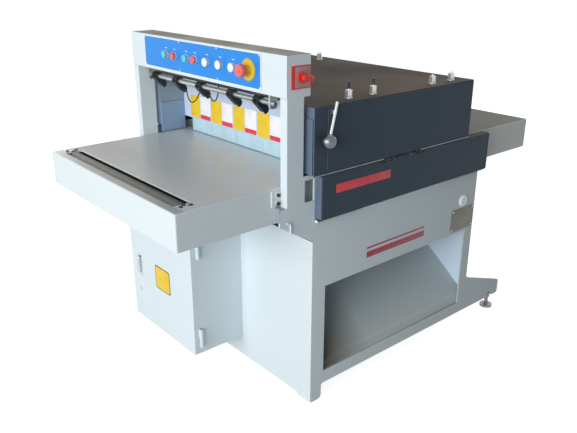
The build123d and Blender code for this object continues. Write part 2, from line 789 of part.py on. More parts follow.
# Main motor: finned body with end bells, feet and terminal box
motor_radius = 112
motor_left = -446
motor_right = -130
motor_shaft = 19
fin_count = 24
fin_depth = 12
front_bell = motor_left + 40
fan_cover = motor_right - 70
motor_feet = (-386, -206)
terminal_box = (-380, -270)
terminal_half = 55
rail_top = 205
foot_sheet = 16
with BuildPart() as main_motor:
    rod_x((motor_left, front_bell), arbor_y, motor_z, motor_radius)
    rod_x((front_bell, fan_cover), arbor_y, motor_z, motor_radius - fin_depth)
    rod_x((fan_cover, motor_right), arbor_y, motor_z, motor_radius)
    chamfer(main_motor.edges().filter_by(GeomType.CIRCLE).sort_by(Axis.X)[-1], 12)
    for fin in range(fin_count):
        turn = (360 / fin_count * fin, 0, 0)
        with Locations(Location(((front_bell + fan_cover) / 2, arbor_y, motor_z), turn)):
            with Locations((0, 0, motor_radius - 9)):
                Box(fan_cover - front_bell + 2, 4, 16)
    block(terminal_box, (arbor_y - terminal_half, arbor_y + terminal_half), (motor_z + 95, motor_z + 168))
    for side in (-1, 1):
        span = sorted((arbor_y + side * 70, arbor_y + side * 128))
        block(motor_feet, span, (rail_top, rail_top + foot_sheet))
        post = sorted((arbor_y + side * 70, arbor_y + side * 92))
        block(motor_feet, post, (rail_top, motor_z - 70))
    rod_x((motor_left - 10, motor_left), arbor_y, motor_z, 2 * motor_shaft + 2)
    rod_x((motor_left - 12, motor_left + 4), arbor_y, motor_z, motor_shaft + 0.1, Mode.SUBTRACT)
write(main_motor, "main_motor")

# Motor rails: two channels from the front panel to the rear panel under the motor's feet
rail_places = (-350, -242)
rail_width = 60
rail_height = 50
rail_wall = 6
with BuildPart() as motor_rails:
    for place in rail_places:
        with BuildSketch(Plane.XZ.offset(-(base_front + base_panel))):
            with Locations((place, rail_top - rail_height / 2)):
                Rectangle(rail_width, rail_height)
            with Locations((place, rail_top - rail_height / 2 - rail_wall / 2)):
                Rectangle(rail_width - 2 * rail_wall, rail_height - rail_wall, mode=Mode.SUBTRACT)
        extrude(amount=-(base_rear - base_front - 2 * base_panel))
write(motor_rails, "motor_rails")

# Motor pulley with its stub of shaft
motor_pulley_radius = 82
with BuildPart() as motor_pulley:
    rod_x(pulley_ends, arbor_y, motor_z, motor_pulley_radius)
    for place in belt_places:
        groove = (place - groove_width / 2, place + groove_width / 2)
        rod_x(groove, arbor_y, motor_z, motor_pulley_radius + 1, Mode.SUBTRACT)
        rod_x(groove, arbor_y, motor_z, motor_pulley_radius - groove_depth)
    rod_x((pulley_ends[1], motor_left + 3), arbor_y, motor_z, motor_shaft)
write(motor_pulley, "motor_pulley")

# Drive belts: three loops that lie in the pulleys' grooves
belt_width = 13
belt_height = 8
with BuildPart() as drive_belts:
    for place in belt_places:
        for growth, mode in ((belt_height, Mode.ADD), (0, Mode.SUBTRACT)):
            with BuildSketch(Plane.YZ.offset(place - belt_width / 2)):
                with Locations((arbor_y, arbor_z)):
                    Circle(pulley_radius - groove_depth + 0.3 + growth)
                with Locations((arbor_y, motor_z)):
                    Circle(motor_pulley_radius - groove_depth + 0.3 + growth)
                make_hull()
            extrude(amount=belt_width, mode=mode)
write(drive_belts, "drive_belts")

# Belt guard on the left side plate: a rim around both pulleys and the flat face let into it
guard_sheet = 3
guard_depth = overhang - half_width
guard_top_radius = 88
guard_low_radius = 108
guard_chamfer = 2
face_gap = 0.1


def guard_outline(start, inset):
    with BuildSketch(Plane.YZ.offset(start)) as outline:
        with Locations((arbor_y, arbor_z)):
            Circle(guard_top_radius - inset)
        with Locations((arbor_y, motor_z)):
            Circle(guard_low_radius - inset)
        make_hull()
    return outline.sketch


with BuildPart() as belt_guard:
    extrude(guard_outline(-half_width, 0), amount=-guard_depth)
    chamfer(belt_guard.faces().sort_by(Axis.X)[0].edges(), guard_chamfer)
    extrude(guard_outline(-half_width, guard_sheet), amount=-guard_depth, mode=Mode.SUBTRACT)
    extrude(guard_outline(-overhang, guard_sheet + face_gap), amount=guard_sheet)
write(belt_guard, "belt_guard")

# Feed gearmotor on the left side plate
gear_y = 298
gear_z = 738
gear_half = 48
gear_face = -360
feed_motor_radius = 50
feed_motor_ends = (-344, -190)
with BuildPart() as feed_gearmotor:
    depth = (gear_y - gear_half, gear_y + gear_half)
    block((-plate_inner, gear_face), depth, (gear_z - gear_half, gear_z + gear_half))
    fillet(feed_gearmotor.edges().filter_by(Axis.X), 14)
    rod_x((gear_face, feed_motor_ends[0]), gear_y, gear_z, feed_motor_radius - 10)
    rod_x(feed_motor_ends, gear_y, gear_z, feed_motor_radius)
    chamfer(feed_gearmotor.edges().filter_by(GeomType.CIRCLE).sort_by(Axis.X)[-1], 8)
write(feed_gearmotor, "feed_gearmotor")

# Outfeed table: folded sheet with a rounded lower rear corner, open below and in front
with BuildPart() as outfeed_table:
    skirt = (table_height - outfeed_skirt, table_height)
    block((-outfeed_half, outfeed_half), (hood_rear + 0.3, outfeed_end), skirt)
    fillet(outfeed_table.edges().filter_by(Axis.Z).group_by(Axis.Y)[-1], 6)
    top_edges = outfeed_table.faces().sort_by(Axis.Z)[-1].edges()
    fillet(top_edges.sort_by(Axis.Y)[1:], 5)
    inside = outfeed_half - table_sheet
    hollow = (skirt[0] - 1, table_height - table_sheet)
    block((-inside, inside), (hood_rear, outfeed_end - table_sheet), hollow, Mode.SUBTRACT)
    with BuildSketch(Plane.YZ.offset(-outfeed_half)):
        with Locations((outfeed_end - 8, skirt[0] + 8)):
            Rectangle(16.1, 16.1)
            with Locations((-8, 8)):
                Circle(16, mode=Mode.SUBTRACT)
    extrude(amount=2 * outfeed_half, mode=Mode.SUBTRACT)
write(outfeed_table, "outfeed_table")

# Electrical cabinet under the infeed table: sheet shell, open in front, with the fixed hinge halves
cabinet_sheet = 2
cabinet_face = cabinet_front + door_depth
hinge_x = cabinet_right + 8
hinge_y = cabinet_face - 0.25
hinge_places = (132, 500)
hinge_radius = 7
hinge_pin = 4
leaf = 38
with BuildPart() as cabinet:
    block((cabinet_left, cabinet_right), (cabinet_face, base_front), (cabinet_bottom, cabinet_top))
    fillet(cabinet.edges().filter_by(Axis.Y), 3)
    front = cabinet.faces().sort_by(Axis.Y)[0]
    offset(amount=-cabinet_sheet, openings=[front], kind=Kind.INTERSECTION)
    for place in hinge_places:
        rod_z(hinge_x, hinge_y, (place, place + leaf), hinge_radius)
        block((cabinet_right, hinge_x), (hinge_y + 1, hinge_y + 6), (place, place + leaf))
        rod_z(hinge_x, hinge_y, (place + leaf, place + 2 * leaf - 4), hinge_pin)
write(cabinet, "cabinet")

# Mounting plate in the cabinet with wiring ducts, contactors, breaker, transformer and terminals
plate_back = base_front - cabinet_sheet
plate_sheet = 3
plate_face = plate_back - plate_sheet
plate_width = 420
plate_height = 580
duct_heights = (190, 400, 610)
duct_half = 20
device_left = -350
contactor_pitch = 62
contactor_width = 46
contactor_row = (460, 545)
transformer_row = (255, 345)
terminal_row = (270, 320)
with BuildPart() as electrical_plate:
    with BuildSketch(Plane.XZ.offset(-plate_back)):
        with Locations(((cabinet_left + cabinet_right) / 2, (cabinet_bottom + cabinet_top) / 2)):
            RectangleRounded(plate_width, plate_height, 6)
    extrude(amount=plate_sheet)
    for height in duct_heights:
        block((device_left - 15, 32), (plate_face - 55, plate_face), (height - duct_half, height + duct_half))
    for column in range(4):
        start = device_left + column * contactor_pitch
        block((start, start + contactor_width), (plate_face - 78, plate_face), contactor_row)
        bridge = (start + 8, start + contactor_width - 8)
        block(bridge, (plate_face - 88, plate_face - 78), (contactor_row[0] + 18, contactor_row[1] - 18))
    block((-90, -14), (plate_face - 68, plate_face), contactor_row)
    block((device_left, device_left + 100), (plate_face - 90, plate_face), transformer_row)
    block((-200, 20), (plate_face - 40, plate_face), terminal_row)
write(electrical_plate, "electrical_plate")

# Cabinet door: folded pan with the loose hinge halves on its right edge
door_back = cabinet_face - 0.5
latch_x = -328
latch_pivot = 322
lock_place = (latch_x - 8, 232)
latch_spindle = 5
with BuildPart() as cabinet_door:
    block((cabinet_left, cabinet_right), (cabinet_front, door_back), (cabinet_bottom, cabinet_top))
    fillet(cabinet_door.edges().filter_by(Axis.Y), 5)
    fillet(cabinet_door.faces().sort_by(Axis.Y)[0].edges(), 3)
    open_face = cabinet_door.faces().sort_by(Axis.Y)[-1]
    offset(amount=-cabinet_sheet, openings=[open_face], kind=Kind.INTERSECTION)
    for place in hinge_places:
        barrel = (place + leaf + 0.5, place + 2 * leaf)
        rod_z(hinge_x, hinge_y, barrel, hinge_radius)
        block((cabinet_right, hinge_x), (hinge_y - 6, hinge_y - 1), barrel)
        rod_z(hinge_x, hinge_y, (place + leaf, place + 2 * leaf - 3), hinge_pin + 0.05, Mode.SUBTRACT)
    rod_y(latch_x, (cabinet_front - 1, door_back), latch_pivot, latch_spindle + 0.05, Mode.SUBTRACT)
write(cabinet_door, "cabinet_door")

# Door latch: oblong plate with the lock barrel below it, and the turning handle with its spindle
latch_plate_sheet = 3
latch_width = 30
latch_length = 98
lock_radius = 8
with BuildPart() as latch_plate:
    with BuildSketch(Plane.XZ.offset(-cabinet_front)):
        with Locations((latch_x, latch_pivot + 22)):
            RectangleRounded(latch_width, latch_length, 6)
        with Locations((latch_x, latch_pivot)):
            Circle(latch_spindle + 0.05, mode=Mode.SUBTRACT)
        with Locations(lock_place):
            Circle(lock_radius)
    extrude(amount=latch_plate_sheet)
write(latch_plate, "latch_plate")

latch_face = cabinet_front - latch_plate_sheet - 0.3
handle_length = 74
handle_width = 18
handle_rise = 9
spindle_end = cabinet_front + 14
with BuildPart() as latch_handle:
    with BuildSketch(Plane.XZ.offset(-latch_face)):
        with Locations((latch_x, latch_pivot + 27)):
            SlotOverall(handle_length, handle_width, rotation=90)
    extrude(amount=handle_rise)
    chamfer(latch_handle.faces().sort_by(Axis.Y)[0].edges(), 2)
    rod_y(latch_x, (latch_face, spindle_end), latch_pivot, latch_spindle)
    rod_y(latch_x, (spindle_end - 6, spindle_end), latch_pivot, 14)
write(latch_handle, "latch_handle")

# Side cover over the arbor's end: pressed pan with finger slots in its top edge, hinged along its lower edge
cover_sheet = 2.5
cover_inner = half_width + 0.5
cover_hinge_x = half_width + 8
cover_hinge_z = cover_bottom - 6
cover_knuckle = 5
cover_pin = 3
pin_head = 7
knuckle_ends = (cover_front + 4, cover_front + 220, 260, cover_rear - 4)
finger_slots = ((-146, 30), (-110, 36), (-24, 40), (38, 44))
slot_depth = 8
with BuildPart() as side_cover:
    block((cover_inner, cover_half), (cover_front, cover_rear), (cover_bottom, cover_top))
    fillet(side_cover.edges().filter_by(Axis.X), 8)
    fillet(side_cover.faces().sort_by(Axis.X)[-1].edges(), 6)
    open_face = side_cover.faces().sort_by(Axis.X)[0]
    offset(amount=-cover_sheet, openings=[open_face], kind=Kind.INTERSECTION)
    for start, length in finger_slots:
        edge = (cover_top - slot_depth, cover_top + 1)
        block((cover_half - 15, cover_half + 1), (start, start + length), edge, Mode.SUBTRACT)
    for start, end in (knuckle_ends[:2], knuckle_ends[2:]):
        rod_y(cover_hinge_x, (start, end), cover_hinge_z, cover_knuckle)
        block((cover_hinge_x, cover_hinge_x + 4), (start, end), (cover_hinge_z, cover_bottom + 1))
        rod_y(cover_hinge_x, (start - 1, end + 1), cover_hinge_z, cover_pin + 0.05, Mode.SUBTRACT)
write(side_cover, "side_cover")

# Hinge pin of the side cover with its fixed middle knuckle on the side plate
with BuildPart() as cover_hinge:
    middle = (knuckle_ends[1] + 0.5, knuckle_ends[2] - 0.5)
    rod_y(cover_hinge_x, (cover_front - 6, cover_rear + 6), cover_hinge_z, cover_pin)
    rod_y(cover_hinge_x, middle, cover_hinge_z, cover_knuckle)
    block((half_width, cover_hinge_x), middle, (cover_hinge_z - cover_knuckle, cover_hinge_z))
    for end in (cover_front, cover_rear):
        with Locations((cover_hinge_x, end, cover_hinge_z)):
            Sphere(pin_head)
    gap = (knuckle_ends[0] - 0.5, knuckle_ends[3] + 0.5)
    for start, end in ((gap[0], middle[0]), (middle[1], gap[1])):
        rod_y(cover_hinge_x, (start, end), cover_hinge_z, pin_head + 1, Mode.SUBTRACT)
        rod_y(cover_hinge_x, (start, end), cover_hinge_z, cover_pin)
write(cover_hinge, "cover_hinge")
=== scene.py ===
from math import cos, pi, radians, sin

import bmesh
import bpy
from mathutils import Euler, Matrix, Vector


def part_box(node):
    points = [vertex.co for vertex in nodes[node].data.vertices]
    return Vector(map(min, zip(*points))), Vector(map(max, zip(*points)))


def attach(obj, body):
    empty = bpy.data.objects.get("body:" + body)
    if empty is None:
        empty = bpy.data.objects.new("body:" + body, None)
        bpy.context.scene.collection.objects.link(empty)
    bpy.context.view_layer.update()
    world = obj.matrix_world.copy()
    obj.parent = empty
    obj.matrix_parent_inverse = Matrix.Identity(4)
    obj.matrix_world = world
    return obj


# Multi-blade rip saw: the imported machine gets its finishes, and the small trim, screws, cards and plates
# that it carries are modelled on it. Sizes are written in millimetres, times mm.
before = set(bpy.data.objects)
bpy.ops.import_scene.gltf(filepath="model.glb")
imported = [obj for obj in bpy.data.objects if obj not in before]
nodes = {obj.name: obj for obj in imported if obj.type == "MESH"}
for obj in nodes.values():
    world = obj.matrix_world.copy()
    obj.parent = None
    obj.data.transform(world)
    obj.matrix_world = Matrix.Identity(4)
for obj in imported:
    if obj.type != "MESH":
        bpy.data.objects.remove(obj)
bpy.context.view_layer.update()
mm = 0.001

# Camera: it stands at the machine's right front corner, a little above the control gate, and looks down
# over the infeed table. Its picture is 577 x 433.
focal_length = 41.561
sensor_width = 36
view_place = Vector((1959.0, -1811.4, 1513.1))
view_turn = radians(49.527)
view_drop = radians(21.024)
view_roll = radians(0.123)
camera = bpy.data.objects.new("camera", bpy.data.cameras.new("camera"))
bpy.context.scene.collection.objects.link(camera)
camera.data.sensor_width = sensor_width
camera.data.lens = focal_length
camera.data.clip_end = 60
camera.location = view_place * mm
camera.rotation_euler = (Euler((pi / 2 - view_drop, 0, view_turn)).to_matrix()
                         @ Matrix.Rotation(view_roll, 3, "Z")).to_euler()
bpy.context.scene.camera = camera


# Floor and light: pale studio paper that shows white and keeps a soft shadow, one broad low light in front
# and a little to the right, weak ones at the left and behind, and an even surround.
def linear(code):
    """Linear colour of an sRGB hex value."""
    channels = [int(code[place:place + 2], 16) / 255 for place in (1, 3, 5)]
    return [c / 12.92 if c <= 0.04045 else ((c + 0.055) / 1.055) ** 2.4 for c in channels] + [1]


def add(owner, kind, inputs=None, **settings):
    """Add one shader node: settings are its properties, inputs are values or (node, output) links."""
    tree = owner.node_tree
    node = tree.nodes.new("ShaderNode" + kind)
    for name, value in settings.items():
        setattr(node, name, value)
    for socket, source in (inputs or {}).items():
        if isinstance(source, tuple) and hasattr(source[0], "outputs"):
            tree.links.new(node.inputs[socket], source[0].outputs[source[1]])
        else:
            node.inputs[socket].default_value = source
    return node


def fresh(name):
    """An empty node material."""
    material = bpy.data.materials.new(name)
    material.use_nodes = True
    material.node_tree.nodes.clear()
    return material


def clear():
    """Leave edit mode and deselect everything."""
    if bpy.context.mode != "OBJECT":
        bpy.ops.object.mode_set(mode="OBJECT")
    bpy.ops.object.select_all(action="DESELECT")


def shown(owner):
    """1 where the backdrop is looked at: straight, in a reflection or through glass."""
    ray = add(owner, "LightPath")
    seen = add(owner, "Math", {0: (ray, "Is Camera Ray"), 1: (ray, "Is Glossy Ray")}, operation="MAXIMUM")
    return add(owner, "Math", {0: (seen, 0), 1: (ray, "Is Transmission Ray")}, operation="MAXIMUM")


floor_half = 14
paper_glow = 0.9
clear()
bpy.ops.mesh.primitive_plane_add(size=2 * floor_half)
floor = bpy.context.object
floor.name = "studio_floor"
studio_paper = fresh("studio_paper")
lift = add(studio_paper, "Math", {0: (shown(studio_paper), 0), 1: paper_glow}, operation="MULTIPLY")
glow = add(studio_paper, "Emission", {"Color": linear("#FFFFFF"), "Strength": (lift, 0)})
paper = add(studio_paper, "BsdfDiffuse", {"Color": linear("#ABADAE")})
both = add(studio_paper, "AddShader", {0: (glow, 0), 1: (paper, 0)})
add(studio_paper, "OutputMaterial", {"Surface": (both, 0)})
floor.data.materials.append(studio_paper)

surround_light = 0.25
surround = bpy.data.worlds.new("surround")
surround.use_nodes = True
surround.node_tree.nodes.clear()
bpy.context.scene.world = surround
seen = shown(surround)
level = add(surround, "MapRange", {"Value": (seen, 0), "To Min": surround_light, "To Max": 1.0})
tint = add(surround, "Mix", {0: (seen, 0), 6: linear("#F6FAFF"), 7: linear("#FFFFFF")}, data_type="RGBA")
sky = add(surround, "Background", {"Color": (tint, 2), "Strength": (level, 0)})
add(surround, "OutputWorld", {"Surface": (sky, 0)})

# Each lamp: its place, width and height in metres, and its watts
lamps = {
    "key_light": ((2.1, -7.6, 2.2), 7.0, 4.0, 580),
    "left_light": ((-5.6, -0.4, 2.0), 3.0, 3.0, 90),
    "rear_light": ((-0.8, 5.6, 2.0), 3.0, 3.0, 90),
}
lamp_target = Vector((0, 0, 0.8))
for name, (place, width, height, watts) in lamps.items():
    lamp = bpy.data.lights.new(name, "AREA")
    lamp.shape = "RECTANGLE"
    lamp.size = width
    lamp.size_y = height
    lamp.energy = watts
    lamp_object = bpy.data.objects.new(name, lamp)
    bpy.context.scene.collection.objects.link(lamp_object)
    lamp_object.location = place
    aim = lamp_target - lamp_object.location
    lamp_object.rotation_euler = aim.to_track_quat("-Z", "Y").to_euler()
bpy.context.scene.view_settings.view_transform = "Standard"


# Base, gate and cabinet: bent steel sheet, powder coated in a cool light grey and screwed together. The
# coat shows orange peel, faint clouds from the gun, lighter chips along the folds, and on what lies flat a
# warm brown film that is partly wood dust and partly a painted reflection of warm surroundings.
def per_mm(size):
    """Texture scale that gives features of a size in millimetres."""
    return 1000 / size


def coat(name, base, cloud, chip, roughness, peel, film=None, film_share=0.0, gloss=0.5, second=None,
         dust_and_reflection_patches=None):
    """Painted sheet: clouded base colour, chipped edges, orange peel and, on top, a dusty film and painted
    reflection.

    second may be a function that lays another paint or a painted light and shade over some places, given
    the colour so far. The last argument is the colour of broad dusty patches in the film, which are partly
    a painted reflection. Real orange peel is 1 or 2 mm across and wouldn't show, so peel is coarser.
    """
    material = fresh(name)
    where = add(material, "TexCoord")
    clouds = add(material, "TexNoise", {"Vector": (where, "Object"), "Scale": per_mm(260), "Detail": 4})
    colour = add(material, "Mix", {0: (clouds, "Fac"), 6: linear(base), 7: linear(cloud)}, data_type="RGBA")
    if second:
        colour = second(material, where, colour)
    rounded = add(material, "Bevel", {"Radius": 2.2 * mm}, samples=4)
    face = add(material, "NewGeometry")
    turn = add(material, "VectorMath", {0: (rounded, 0), 1: (face, "Normal")}, operation="DOT_PRODUCT")
    edge = add(material, "MapRange", {"Value": (turn, "Value"), "From Min": 0.985, "From Max": 0.85})
    grit = add(material, "TexNoise", {"Vector": (where, "Object"), "Scale": per_mm(22), "Detail": 6})
    broken = add(material, "MapRange", {"Value": (grit, "Fac"), "From Min": 0.42, "From Max": 0.62})
    wear = add(material, "Math", {0: (edge, 0), 1: (broken, 0)}, operation="MULTIPLY")
    colour = add(material, "Mix", {0: (wear, 0), 6: (colour, 2), 7: linear(chip)}, data_type="RGBA")
    rough = add(material, "MapRange", {"Value": (grit, "Fac"), "To Min": roughness - 0.06,
                                       "To Max": roughness + 0.08})
    # On faces that look up: a film that is partly dust and partly a painted warm reflection, with broad
    # patches.
    if film:
        height = add(material, "SeparateXYZ", {0: (where, "Normal")})
        upward = add(material, "MapRange", {"Value": (height, "Z"), "From Min": 0.8, "From Max": 0.97})
        drift = add(material, "TexNoise", {"Vector": (where, "Object"), "Scale": per_mm(120), "Detail": 7})
        laid = add(material, "MapRange", {"Value": (drift, "Fac"), "From Min": 0.25, "From Max": 0.7,
                                          "To Min": 0.55 * film_share, "To Max": film_share})
        dust_and_reflection = add(material, "Math", {0: (upward, 0), 1: (laid, 0)}, operation="MULTIPLY")
        broad = add(material, "TexNoise", {"Vector": (where, "Object"), "Scale": per_mm(420), "Detail": 2})
        swept = add(material, "MapRange", {"Value": (broad, "Fac"), "From Min": 0.4, "From Max": 0.66})
        dust_and_reflection_tone = add(material, "Mix", {0: (swept, 0), 6: linear(film), 7: linear(dust_and_reflection_patches or film)},
                     data_type="RGBA")
        colour = add(material, "Mix", {0: (dust_and_reflection, 0), 6: (colour, 2), 7: (dust_and_reflection_tone, 2)}, data_type="RGBA")
        rough = add(material, "Mix", {0: (dust_and_reflection, 0), 2: (rough, 0), 3: 0.75}, data_type="FLOAT")
    skin = add(material, "TexNoise", {"Vector": (where, "Object"), "Scale": per_mm(peel), "Detail": 2})
    bump = add(material, "Bump", {"Strength": 0.12, "Distance": 0.4 * mm, "Height": (skin, "Fac")})
    shader = add(material, "BsdfPrincipled", {"Base Color": (colour, 2), "Roughness": (rough, 0),
                                              "Normal": (bump, 0), "IOR": 1.5, "Specular IOR Level": gloss})
    add(material, "OutputMaterial", {"Surface": (shader, 0)})
    return material


def dress(material, *names):
    """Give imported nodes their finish."""
    for name in names:
        mesh = nodes[name].data
        mesh.materials.clear()
        mesh.materials.append(material)


grey_sheet = {"base": "#D2E0E6", "cloud": "#DCE7EB", "chip": "#EEF3F4", "roughness": 0.46, "peel": 5,
              "gloss": 0.3}
# A warm brown film on what lies flat: partly wood dust, partly a painted reflection of warm surroundings.
dust_and_warm_reflection = {"film": "#85795A", "dust_and_reflection_patches": "#9C9070"}
light_grey_coat = coat("light_grey_powder_coat", **grey_sheet, **dust_and_warm_reflection, film_share=0.95)
dress(light_grey_coat, "base_front_panel", "gate_posts", "control_box", "control_box_cover", "cabinet",
      "cabinet_door")


# Rear panel: a flat sheet screwed over the back of the base. It has the same coat outside, and on its inner
# face, which shows through the chip window, a paler blue that is painted light from that window.
def forward_faces(material, where):
    """1 on faces that look towards the infeed side."""
    outward = add(material, "SeparateXYZ", {0: (where, "Normal")})
    return add(material, "MapRange", {"Value": (outward, "Y"), "From Min": -0.8, "From Max": -0.97})


def inner_painted_light(material, where, colour):
    """Paler blue on the face that looks forward into the base: painted light from the chip window."""
    inside = forward_faces(material, where)
    # DCEEFF is painted light from the chip window.
    return add(material, "Mix", {0: (inside, 0), 6: (colour, 2), 7: linear("#DCEEFF")}, data_type="RGBA")


panel_film = 0.85
rear_coat = coat("coat_with_pale_blue_inside", **grey_sheet, **dust_and_warm_reflection, film_share=panel_film,
                 second=inner_painted_light)
dress(rear_coat, "base_rear_panel")

# Side plates: thick sheet with the legs, the gussets and the tails cut in one piece. The coat is the same,
# with painted shade that darkens it towards the outfeed end and on the front edge of each gusset.
shade_start = -430
shade_end = 880
gusset_edge = -565
shaded_edge_bottom = 742


def painted_rear_shade(material, where, colour):
    """Painted shade that grows along the feed, and painted shade on the gusset's front edge."""
    spot = add(material, "SeparateXYZ", {0: (where, "Object")})
    forward = forward_faces(material, where)
    ahead = add(material, "Math", {0: (spot, "Y"), 1: gusset_edge * mm}, operation="LESS_THAN")
    above = add(material, "Math", {0: (spot, "Z"), 1: shaded_edge_bottom * mm}, operation="GREATER_THAN")
    rubbed_and_painted_light = add(material, "Math", {0: (ahead, 0), 1: (above, 0)}, operation="MULTIPLY")
    rubbed_and_painted_light = add(material, "Math", {0: (rubbed_and_painted_light, 0), 1: (forward, 0)}, operation="MULTIPLY")
    # 87939A is painted shade on the gusset's front edge.
    colour = add(material, "Mix", {0: (rubbed_and_painted_light, 0), 6: (colour, 2), 7: linear("#87939A")}, data_type="RGBA")
    # ADB7B9 is painted shade that darkens the plate towards the outfeed end.
    along = add(material, "MapRange", {"Value": (spot, "Y"), "From Min": shade_start * mm,
                                       "From Max": shade_end * mm})
    return add(material, "Mix", {0: (along, 0), 6: (colour, 2), 7: linear("#ADB7B9")}, data_type="RGBA")


side_coat = coat("powder_coat_with_painted_shade", **grey_sheet, **dust_and_warm_reflection, film_share=panel_film, second=painted_rear_shade)
dress(side_coat, "base_side_right", "base_side_left")

# Table brackets: coated flat plates bolted to the table's sides, and the steel blocks outside and below
# them that carry the tables. The blocks are painted a mid grey that stands in for shade.
bracket_face = 437
bracket_foot = 786


def painted_shade_grey(material, where, colour):
    """Mid grey painted shade on the blocks outside and below the bracket plates."""
    spot = add(material, "SeparateXYZ", {0: (where, "Object")})
    aside = add(material, "Math", {0: (spot, "X")}, operation="ABSOLUTE")
    outside = add(material, "Math", {0: (aside, 0), 1: (bracket_face + 0.5) * mm}, operation="GREATER_THAN")
    below = add(material, "Math", {0: (spot, "Z"), 1: bracket_foot * mm}, operation="LESS_THAN")
    outside = add(material, "Math", {0: (outside, 0), 1: (below, 0)}, operation="MAXIMUM")
    # 98A3A8 is painted shade on the blocks.
    return add(material, "Mix", {0: (outside, 0), 6: (colour, 2), 7: linear("#98A3A8")}, data_type="RGBA")


bracket_coat = coat("coated_steel_with_painted_shade", **grey_sheet, second=painted_shade_grey)
dress(bracket_coat, "table_brackets")

# Chip chute: plain sheet under the blades, in blue-grey enamel that sliding chips have rubbed dull. Its
# front end is painted brown as painted shade, and grey dust lies low on the slope.
dust_line = 420
chute_lip = 150
front_shade_end = -120
front_shade_start = -350


def dust_and_painted_shade(material, where, colour):
    """Grey dusting low on the slope, and a painted brown shade that fades from the chute's front end to its
    middle.
    """
    spot = add(material, "SeparateXYZ", {0: (where, "Object")})
    low = add(material, "MapRange", {"Value": (spot, "Z"), "From Min": dust_line * mm,
                                     "From Max": chute_lip * mm, "To Max": 0.65})
    colour = add(material, "Mix", {0: (low, 0), 6: (colour, 2), 7: linear("#C8CFC9")}, data_type="RGBA")
    # 43341F is painted shade at the chute's front end.
    front_shade = add(material, "MapRange", {"Value": (spot, "Y"), "From Min": front_shade_end * mm,
                                       "From Max": front_shade_start * mm, "To Max": 0.92})
    return add(material, "Mix", {0: (front_shade, 0), 6: (colour, 2), 7: linear("#43341F")}, data_type="RGBA")


chute_enamel = coat("blue_grey_chute_enamel", "#B4C5D0", "#C0CED6", "#CBD5DA", 0.5, 6, gloss=0.12,
                    second=dust_and_painted_shade)
dress(chute_enamel, "chip_chute")


# Plated hardware: roller yokes with their studs and the cover's hinge, in pale zinc with faint spangle and
# a soft, uneven shine. The levelling feet have gone dull and dark on the floor.
def metal(name, base, shade, roughness, spangle, drawn=(1, 1, 1), scratch=0.08, second=None):
    """Bare or plated metal: two tones in patches, and marks drawn out along the working direction.

    second may be a function that lays another tone over some places, given the colour so far. Tool marks
    are finer than 1 mm and wouldn't show, so they are drawn coarser.
    """
    material = fresh(name)
    where = add(material, "TexCoord")
    patches = add(material, "TexNoise", {"Vector": (where, "Object"), "Scale": per_mm(spangle),
                                         "Detail": 3})
    colour = add(material, "Mix", {0: (patches, "Fac"), 6: linear(base), 7: linear(shade)},
                 data_type="RGBA")
    if second:
        colour = second(material, where, colour)
    lines = add(material, "Mapping", {"Vector": (where, "Object"), "Scale": drawn})
    marks = add(material, "TexNoise", {"Vector": (lines, 0), "Scale": per_mm(2.5), "Detail": 4})
    rough = add(material, "MapRange", {"Value": (marks, "Fac"), "From Min": 0.3, "From Max": 0.7,
                                       "To Min": roughness - 0.08, "To Max": roughness + 0.1})
    bump = add(material, "Bump", {"Strength": scratch, "Distance": 0.2 * mm, "Height": (marks, "Fac")})
    shader = add(material, "BsdfPrincipled", {"Base Color": (colour, 2), "Metallic": 1.0,
                                              "Roughness": (rough, 0), "Normal": (bump, 0)})
    add(material, "OutputMaterial", {"Surface": (shader, 0)})
    return material


zinc_plate = metal("zinc_plated_steel", "#D6D9D8", "#BCC0C0", 0.4, 18)
dress(zinc_plate, "cover_hinge", "pressure_yoke_1", "pressure_yoke_2", "pressure_yoke_3", "pressure_yoke_4")
dulled_steel = metal("dulled_steel", "#8B8F90", "#6F7374", 0.5, 12)
dress(dulled_steel, "levelling_feet")


# Lifting-socket plugs: domed caps moulded in off-white polythene, pressed into the tubes of the side
# plates. The moulding is satin with a faint grain and a few handling smudges.
def moulded(name, base, smudge, roughness, grain, depth=0.1):
    """Moulded plastic, rubber or film: smudged colour, a patchy sheen, and grain drawn coarse to show."""
    material = fresh(name)
    where = add(material, "TexCoord")
    hands = add(material, "TexNoise", {"Vector": (where, "Object"), "Scale": per_mm(35), "Detail": 4})
    share = add(material, "MapRange", {"Value": (hands, "Fac"), "From Min": 0.45, "From Max": 0.8})
    colour = add(material, "Mix", {0: (share, 0), 6: linear(base), 7: linear(smudge)}, data_type="RGBA")
    rough = add(material, "MapRange", {"Value": (hands, "Fac"), "To Min": roughness - 0.05,
                                       "To Max": roughness + 0.1})
    pores = add(material, "TexNoise", {"Vector": (where, "Object"), "Scale": per_mm(grain), "Detail": 3})
    bump = add(material, "Bump", {"Strength": depth, "Distance": 0.2 * mm, "Height": (pores, "Fac")})
    shader = add(material, "BsdfPrincipled", {"Base Color": (colour, 2), "Roughness": (rough, 0),
                                              "Normal": (bump, 0), "IOR": 1.49})
    add(material, "OutputMaterial", {"Surface": (shader, 0)})
    return material


dress(moulded("white_polythene", "#F1F4F4", "#DCE0DF", 0.36, 2), "lifting_sockets")

# Infeed and outfeed tables and the bed between them: folded sheet, coated on the skirts and lacquered on
# top in a warm grey with a soft sheen. The top is painted paler towards the right as painted light, carries
# a painted pale blue reflection of the strip curtain by the throat, is dull in front of the idle roller,
# and behind is brown with sawdust and darker with painted shade, as are the skirts there.
painted_light_left = -420
painted_light_right = 300
